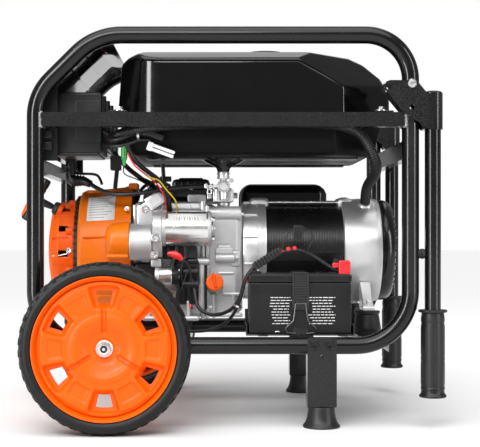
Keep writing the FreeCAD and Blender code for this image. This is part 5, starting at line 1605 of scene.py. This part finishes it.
def silencer(bm):
    """Pressed shell halves with a rolled seam, its guard with louvres, pipe and outlet."""
    soft_box(bm, (38, 217), (112, 206), (318, 439), 25, steps=7)
    rounded_plate(bm, (36.4, 218.6), (156, 160), (316.6, 440.4), 27)
    rounded_plate(bm, (52, 203), (206, 209.4), (332, 426), 12)
    for row in range(5):
        for column in range(3):
            x = 66 + 44 * column
            z = 346 + 16 * row
            soft_box(bm, (x, x + 34), (208, 211.6), (z, z + 5), 1.6, steps=3)
    pipe(bm, [(-36, 160, 366), (6, 160, 366), (44, 160, 366)], 13.6, 28)
    turned(bm, (0, 160, 366), "x", [(-42, 13), (-42, 22), (-37, 22), (-37, 13)], 32, closed=True)
    turned(bm, (0, 178, 350), "x", [
        (212, 9), (212, 14), (214, 14), (217, 11.4), (226, 11.4), (226.6, 10), (226, 9)], 32,
        closed=True)


solid("filter_box", filter_box, "black_plastic", stands_for=("air_cleaner",))
solid("filter_stay", filter_stay, "black_frame_paint")
solid("carburettor_body", carburettor, "bright_aluminium", stands_for=("carburetor",))
solid("choke_lever_moulding", choke, "black_plastic", body="choke", stands_for=("choke_lever",))
solid("cylinder_fins_and_head", cylinder_casting, "cast_aluminium", stands_for=("cylinder",))
solid("rocker_box", rocker_box, "black_frame_paint")
solid("head_bolts", head_bolts, "zinc_steel")
solid("silencer", silencer, "black_frame_paint", stands_for=("muffler",))

# --- control end ---
HOOD_HALF = 205.0
FACE_X = -302  # the control face's outer side
# Blank plates on the control face: each one's width and height limits, and its look.
BLANK_PLATES = (
    ((-90, 100), (566, 580), "white_label"),
    ((-90, 110), (482, 492), "orange_paint"),
    ((-182, -138), (480, 484), "white_label"),
    ((120, 176), (560, 580), "white_label"),
)
ELBOW = (-284, -80)


def hood_sheet():
    """Bent sheet: control face, three-step hood under the sloped tubes, level flange."""
    bm = bmesh.new()
    line = [(-301, 470), (-301, 592), (-299.8, 597), (-269, 627.6), (-268.4, 626.4), (-267, 627.8),
        (-267.6, 629), (-243.6, 653), (-243, 651.8), (-241.6, 653.2), (-242.2, 654.4), (-224, 672),
        (-220, 673.4), (-194, 673.4)]
    rows = [[bm.verts.new((x, y, z)) for y in (-HOOD_HALF, -70, 70, HOOD_HALF)] for x, z in line]
    for low, high in zip(rows, rows[1:]):
        for k in range(3):
            bm.faces.new((low[k], low[k + 1], high[k + 1], high[k]))


    walled(piece("control_hood_sheet", bm, "panel_paint", sharp=4), 2.0, 0)


hood_sheet()


def control_housing(bm):
    """Stepped plastic housing: the front part reaches lower; ribs, rims, flange sheets and an elbow."""
    for y, low in (((-190, -65), 479), ((-68, 190), 497)):
        soft_box(bm, (-299, -215), y, (low, 590), 7, steps=5)
        soft_box(bm, (-299.6, -221), y, (low - 3, low + 2), 1.4)
    for y in (-120, -40, 40, 120):
        soft_box(bm, (-296, -213.6), (y - 2, y + 2), (499, 590.6), 1.4)
    for side in SIDES:
        soft_box(bm, (-262, -216.4), (side * 190.6 - 1.2, side * 190.6 + 1.2), (500, 574), 1.0)
        soft_box(bm, (-317, -292), (side * 206 - 1, side * 206 + 1), (466, 604), 0.9)
        for z in (484, 504):
            soft_box(bm, (-317, -300), (side * 212 - 12, side * 212 + 12), (z, z + 14), 1.4)
    turned(bm, (*ELBOW, 0), "z", [
        (479, 0), (479, 11), (474, 11), (473, 9.4), (468, 9.4), (467, 10.4), (463, 10.4), (462, 9.4),
        (457, 9.4), (456, 10.4), (452, 10.4), (451, 9.2), (436, 9), (434, 0)], 32)
    pipe(bm, [
        (*ELBOW, 446), (-283.4, -80.4, 440), (-279, -81.4, 436.6), (-270, -82.4, 436.4),
        (-258, -84, 435.8), (-246, -90, 430)], [9.4, 10.4, 10.8, 10, 8.4, 6.8], 20)
    for i in range(4):
        turned(bm, (-276 + 5.4 * i, -82, 436.6), "x", [
            (-1.2, 8), (-1, 11.8 - 0.6 * i), (1, 11.8 - 0.6 * i), (1.2, 8)], 28, closed=True)


solid("control_housing", control_housing, "black_plastic", stands_for=("control_box", "control_panel"))


def control_face(bm):
    """Round bezels of the outlets, the gauge, the switch frame, the breaker's collar and blank plates."""
    for y in OUTLETS_Y:
        turned(bm, (0, y, OUTLET_Z), "x", [
            (FACE_X, 17.4), (-307, 17.4), (-308.6, 19), (-309, 22), (-308.2, 25), (-306, 26.6),
            (FACE_X, 27)], 64)
        soft_box(bm, (-304, FACE_X), (y - 31, y + 31), (499, 561), 0.9)
    turned(bm, GAUGE, "x", [
        (FACE_X, 0), (FACE_X, 19), (-306.6, 19), (-308, 17.6), (-308, 15), (-306, 14.6), (-306, 0)], 64)
    for y in ((-163, -158.6), (-133.4, -129)):
        soft_box(bm, (-306, -301), y, (533, 571), 1.2)
    for z in ((533, 537.6), (566.4, 571)):
        soft_box(bm, (-306, -301), (-163, -129), z, 1.2)
    turned(bm, BREAKER, "x", [
        (FACE_X, 6.8), (FACE_X, 12), (-304.6, 12), (-306, 10.6), (-306, 6.8)], 40, closed=True)


def control_sockets(bm):
    """Round faces of the three outlets."""
    for y in OUTLETS_Y:
        turned(bm, (0, y, OUTLET_Z), "x", [
            (-270, 0), (-270, 19.6), (-300, 19.6), (FACE_X, 17.6), (-303.4, 17.4), (-303.4, 0)], 64)


def socket_slots(bm):
    """The dark blade slots of each outlet and the gauge's needle."""
    for y in OUTLETS_Y:
        for side in SIDES:
            soft_box(bm, (-304, -303), (y + side * 6.5 - 1.1, y + side * 6.5 + 1.1), (528, 538), 0.45,
                steps=2)
        turned(bm, (0, y, 520.5), "x", [(-304, 0), (-304, 2.6), (-303, 2.6)], 20)
    soft_box(bm, (-307.2, -306.4), (-160.6, -159.4), (503, 516), 0.3, (28, "X", GAUGE), 2)


def control_bolts(bm):
    """Corner screws of the control face and the earth stud with its nut."""
    for y in (-196, 196):
        for z in (482, 586):
            bolt(bm, (FACE_X, y, z), (-1, 0, 0), 7.0, 4.4, 6.0)
    turned(bm, (0, 184, 496), "x", [
        (FACE_X, 0), (FACE_X, 9), (-304, 9), (-304, 4), (-316, 4), (-316.6, 3), (-316.6, 0)], 24)
    turned(bm, (0, 184, 496), "x", [(-309, 4), (-309, 8), (-312, 8), (-312, 4)], 6, closed=True)


solid("control_face_bezels", control_face, "black_plastic")
solid("outlet_faces", control_sockets, "battery_plastic", stands_for=("outlet_sockets",))
solid("outlet_slots", socket_slots, "black_rubber")
solid("control_screws", control_bolts, "zinc_steel")
for index, (across, up, look) in enumerate(BLANK_PLATES):
    plate = bmesh.new()
    soft_box(plate, (FACE_X - 0.9, FACE_X), across, up, 0.4, steps=2)
    straighten(piece(f"blank_plate_{index}", plate, look))


def gauge_dial(bm):
    """Pale disc behind the needle."""
    turned(bm, GAUGE, "x", [(-306.5, 0), (-306.5, 14.4), (-306, 14.4)], 48)


solid("gauge_dial", gauge_dial, "white_label")


def rocker(bm):
    """Rocker key of the engine switch on its pin."""
    corners = [(-308.4, 560.4), (-303.6, 552), (-305.6, 543.6), (-297, 545.6), (-294, 552), (-297, 558.4)]
    hull(bm, [(x, y, z) for x, z in corners for y in (-157, -135)], 0.6, 3)
    turned(bm, (-296, 0, 552), "y", [(-160, 0), (-160, 1.5), (-132, 1.5), (-132, 0)], 16)


def breaker(bm):
    """Push button of the circuit breaker on its stem."""
    turned(bm, BREAKER, "x", [
        (-311, 0), (-311, 5.4), (-310, 6.4), (-306.4, 6.4), (-306, 5), (-287, 5), (-287, 0)], 32)


solid("engine_switch_rocker", rocker, "red_plastic", body="switch", stands_for=("engine_switch",))
solid("breaker_push_button", breaker, "black_plastic", body="breaker", stands_for=("breaker_button",))

# --- starter pull ---
def pull_handle(bm):
    """Waisted T bar with a long moulded neck and finger ridges."""
    turned(bm, GRIP_CENTRE, LEAN, [
        (-44, 0), (-44, 5.8), (-43, 7.8), (-41, 8.8), (-34, 9), (-26, 8.2), (-12, 8.4), (0, 9),
        (12, 8.4), (26, 8.2), (34, 9), (41, 8.8), (43, 7.8), (44, 5.8), (44, 0)], 40)
    turned(bm, GRIP_CENTRE, -PULL, [
        (2, 0), (2, 9.8), (8, 8.8), (16, 7.2), (28, 6.2), (33, 5.6), (34.6, 4.6), (34.6, 0)], 32)
    for step in (-31, -22, 22, 31):
        turned(bm, GRIP_CENTRE + LEAN * step, LEAN, [
            (-1.4, 7.6), (-1, 9.1), (1, 9.1), (1.4, 7.6)], 40, closed=True)


def pull_insert(bm):
    """Coloured inlay on the grip's outer face."""
    ends = [GRIP_CENTRE + LEAN * along * 0.86 + PULL * 5.6 for along in (-41, 30)]
    hull(bm, ends + [GRIP_CENTRE - LEAN * 20 + PULL * 7], 6.2, 6)


solid("pull_handle_moulding", pull_handle, "black_plastic", body="pull_grip", stands_for=("recoil_grip",))
solid("pull_handle_insert", pull_insert, "orange_plastic", body="pull_grip")


def starter_rope():
    """Braided rope from inside the cover to the grip."""
    bm = bmesh.new()
    inner = GRIP_CENTRE - PULL * 55.5
    outer = GRIP_CENTRE - PULL * 32
    rings = 60
    points = [inner.lerp(outer, i / rings) for i in range(rings + 1)]
    pipe(bm, points, [2.5 if i % 2 else 2.3 for i in range(rings + 1)], 14)
    rope = piece("starter_rope", bm, "black_rubber", body=None, sharp=180)
    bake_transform(rope)


starter_rope()


# --- wiring ---
# Each lead's thickness, look and route.
LEADS = {
    "harness_bundle": (9.0, "black_plastic", [
        (-214, -180, 516), (-206, -196, 508), (-190, -209, 501), (-170, -210, 509), (-150, -210, 515),
        (-128, -210, 511), (-112, -208, 512)]),
    "harness_bundle_lower": (6.0, "black_rubber", [
        (-214, -178, 502), (-204, -198, 494), (-186, -208, 491), (-164, -208, 496), (-146, -208, 504),
        (-128, -208, 502)]),
    "engine_loom": (9.0, "black_plastic", [
        (-170, -208, 497), (-163, -207, 474), (-147, -190, 458), (-131, -168, 446), (-117, -150, 436),
        (-105, -138, 423), (-100, -128, 403), (-97, -118, 385), (-95, -106, 372)]),
    "stop_wire": (2.8, "red_plastic", [
        (-168, -213, 480), (-159, -206, 460), (-147, -197, 450), (-134, -180, 440), (-122, -166, 431),
        (-113.5, -156, 421), (-107, -146, 408), (-104, -132, 393), (-102, -112, 378)]),
    "charge_wire": (2.8, "yellow_wire", [
        (-134, -186, 438), (-123, -174, 436), (-114.8, -166, 434), (-108, -158, 425), (-101, -150, 416),
        (-92, -142, 406), (-85, -134, 397), (-83, -118, 385), (-82, -106, 376)]),
    "sensor_wire": (2.0, "black_rubber", [
        (-175.5, -205, 456), (-177, -200, 446), (-172, -190, 441), (-159, -175, 437), (-147, -160, 432),
        (-137, -146, 426), (-133, -132, 416)]),
    "coil_wire": (2.0, "black_rubber", [
        (-173, -206, 456), (-168, -196, 448), (-155, -180, 442), (-138, -164, 436), (-122, -148, 428),
        (-116, -132, 414)]),
    "ground_lead": (6.0, "black_rubber", [
        (60, -199, 272), (50, -205, 272), (41, -204, 258), (35, -199, 236), (29, -194, 212),
        (14, -184, 184), (-2, -172, 171), (-32, -162, 161), (-60, -150, 160), (-84, -144, 158)]),
    "vent_hose": (5.0, "black_rubber", [
        (-286, -66, 462), (-284, -62, 452), (-268, -62, 450.6), (-240, -69, 450),
        (-230, -76, 444), (-225, -84, 430)]),
    "spark_lead": (7.0, "black_rubber", [
        (-98, 168, 424), (-108, 150, 440), (-130, 110, 446), (-152, 74, 436), (-164, 54, 420),
        (-166, 44, 404)]),
    "solenoid_wire": (4.0, "black_rubber", [
        (-74, -158, 292), (-64, -154, 284), (-58, -148, 270), (-58, -144, 250), (-62, -142, 234),
        (-60, -134, 214), (-56, -122, 200)]),
    "switch_wire": (2.0, "black_rubber", [
        (-64, -147, 268), (-70, -150, 250), (-76, -150, 232), (-80, -140, 216), (-78, -122, 204)]),
    "tag_loop": (1.8, "black_rubber", [
        (104, -210, 309), (110, -211, 334), (130, -211, 351), (152, -211, 345), (163, -210, 330),
        (150, -209, 309)]),
    "outlet_harness": (10.0, "black_plastic", [
        (-216, 60, 500), (-190, 62, 470), (-170, 90, 455), (-150, 120, 440), (-120, 118, 425)]),
}
for lead_name, (thick, look, route) in LEADS.items():
    smooth_lead(lead_name, route, thick, look)


def connector_black(bm):
    """Plug housings on the solenoid wires, the fuse holder and the harness plugs."""
    for z, reach in ((268, 0), (245, 2)):
        turned(bm, (0, -140, z), "x", [
            (-71 - reach, 0), (-71 - reach, 4.6), (-68, 5.8), (-62, 5.8), (-61, 6.6), (-58, 6.6),
            (-57, 5.8), (-52, 5.8), (-51, 6.8), (-44, 6.8), (-43, 5.6), (-43, 0)], 24)
    soft_box(bm, (-142, -104), (-215, -204), (506, 517), 2.2, (19, "Y", (-122, -208, 511)))
    fuse = (-32, "Y", (79, -206, 293))
    soft_box(bm, (50, 108), (-213, -199), (286.4, 300), 2.8, fuse)
    for i in range(8):
        soft_box(bm, (56 + 6.2 * i, 58.4 + 6.2 * i), (-214.2, -198), (285.4, 301), 1.0, fuse, 2)
    soft_box(bm, (124.6, 141.4), (-211, -205), (326, 352), 1.6, (6, "Y", (133, -208, 339)))
    soft_box(bm, (-214, -194), (-34, -6), (459, 487), 2.6)
    soft_box(bm, (-206, -198), (-22, -18), (424, 460), 1.0, (6, "Y", (-202, -20, 459)))
    soft_box(bm, (196, 206), (-203, -193), (285, 292), 1.8, (18, "Y", (202, -198, 288)))


def loom_and_shade_blocks(bm):
    """Black covers and hoses under the starter motor, partly real wiring and partly painted shade: dark
    blocks that stand in for the shade between the starter and the case.
    """
    soft_box(bm, (-112, -46), (-126, -100), (290, 316), 6)
    soft_box(bm, (-90, -42), (-124, -100), (240, 292), 7)
    soft_box(bm, (-84, -44), (-119, -100), (206, 244), 8)
    soft_box(bm, (-164, -122), (-114, -100), (214, 284), 7)
    for i in range(5):
        soft_box(bm, (-86, -46), (-126, -118), (246 + 9 * i, 250 + 9 * i), 1.6, steps=2)
    for x in (-100, -84, -68):
        turned(bm, (x, -128, 0), "z", [(292, 0), (292, 4.6), (312, 4.6), (314, 3.4), (314, 0)], 20)
    pipe(bm, [
        (-86, -126, 300), (-92, -132, 280), (-84, -134, 258), (-80, -130, 236),
        (-84, -124, 214)], 3.6, 16)
    pipe(bm, [
        (-66, -128, 300), (-74, -136, 282), (-76, -136, 262), (-70, -132, 240),
        (-72, -124, 216)], 2.6, 14)
    soft_box(bm, (-40, -28), (-106, -98), (196, 284), 3)


# Painted shade: these dark blocks darken the space under the starter, along with its real hoses.
solid("loom_and_shade_blocks", loom_and_shade_blocks, "black_rubber")


def connector_pale(bm):
    """Flat two-row plug beside the harness."""
    lie = (20, "Y", (-107, -207, 486))
    for drop in (0, 7.4):
        soft_box(bm, (-130, -84), (-211, -203), (484.6 - drop, 490.4 - drop), 1.6, lie)
    soft_box(bm, (-134, -124), (-211.6, -202.6), (476, 491.6), 1.6, lie)


def green_plug(bm):
    """Bullet plug on top of the sensor and coil wires."""
    turned(bm, (-174.4, -205, 0), "z", [
        (457, 0), (457, 2), (458, 3), (466, 3.6), (470, 5.4), (472, 5.8), (488, 5.8), (489, 4.8),
        (494, 4.6), (494.6, 0)], 24)


def red_boots(bm):
    """Terminal boot on the battery, the solenoid's boot and the crimps of the fused lead."""
    soft_box(bm, (204.6, 226), (-210, -190), (263.6, 290), 3.4)
    soft_box(bm, (194, 210), (-204, -192), (276, 286), 3.0)
    hull(bm, [(-96, -156, 301), (-86, -158, 302), (-78, -160, 297), (-75, -159, 292)], 4.4, 4)
    for x, z in ((103, 306), (116, 309.6), (127, 311)):
        turned(bm, (x, -205.4, z), (1, 0, 0.16), [
            (-3.6, 0), (-3.4, 3.4), (-2, 4.4), (2, 4.4), (3.4, 3.4), (3.6, 0)], 24)
    for x, z in ((46, 263), (41.5, 255)):
        turned(bm, (x, -201, z), (0.5, 0, 0.86), [(-2, 0), (-2, 4.4), (2, 4.4), (2, 0)], 24)
    turned(bm, (-58, -131, 205), (0.3, 0.3, 1), [(-2.4, 0), (-2.4, 3), (2.4, 3), (2.4, 0)], 20)


def bright_clips(bm):
    """Clips round the hoses and leads, a small open frame and a bent wire."""
    turned(bm, (-149.6, -210, 511), (0.94, 0, 0.1), [
        (-2, 7), (-2, 8.6), (2, 8.6), (2, 7)], 32, closed=True)
    turned(bm, (26, -188, 209), (0.35, -0.2, 1), [
        (-1.8, 6.6), (-1.8, 7.8), (1.8, 7.8), (1.8, 6.6)], 32, closed=True)
    turned(bm, (-58.4, -104.4, 423.6), (1, 0.2, 0), [
        (-3, 4.1), (-3, 5), (3, 5), (3, 4.1)], 32, closed=True)
    for x, z in (((-28, -18.4), (402, 412)), ((-28, -25.6), (402, 423)),
                 ((-20.8, -18.4), (402, 423)), ((-28, -18.4), (418, 423))):
        soft_box(bm, x, (-117, -114.8), z, 0.8)
    pipe(bm, [(-289, -94, 305), (-289, -95.6, 300), (-302, -92.4, 297), (-318, -86, 296)], 1.3, 10)


def small_bolts(bm):
    """Small screws near the starter cover and by the battery tray."""
    bolt(bm, (-285, -96.6, 306), (0, -1, 0), 6.5, 5.0, 5.6)
    bolt(bm, (96, -209, 164), (0, 0, 1), 8.0, 5.0, 6.6)


solid("plug_housings", connector_black, "black_rubber")
solid("pale_connector", connector_pale, "white_label")
solid("green_bullet_plug", green_plug, "green_plastic")
solid("red_terminal_boots", red_boots, "red_plastic")
solid("clips_and_ties", bright_clips, "zinc_steel")
solid("small_screws", small_bolts, "zinc_steel")
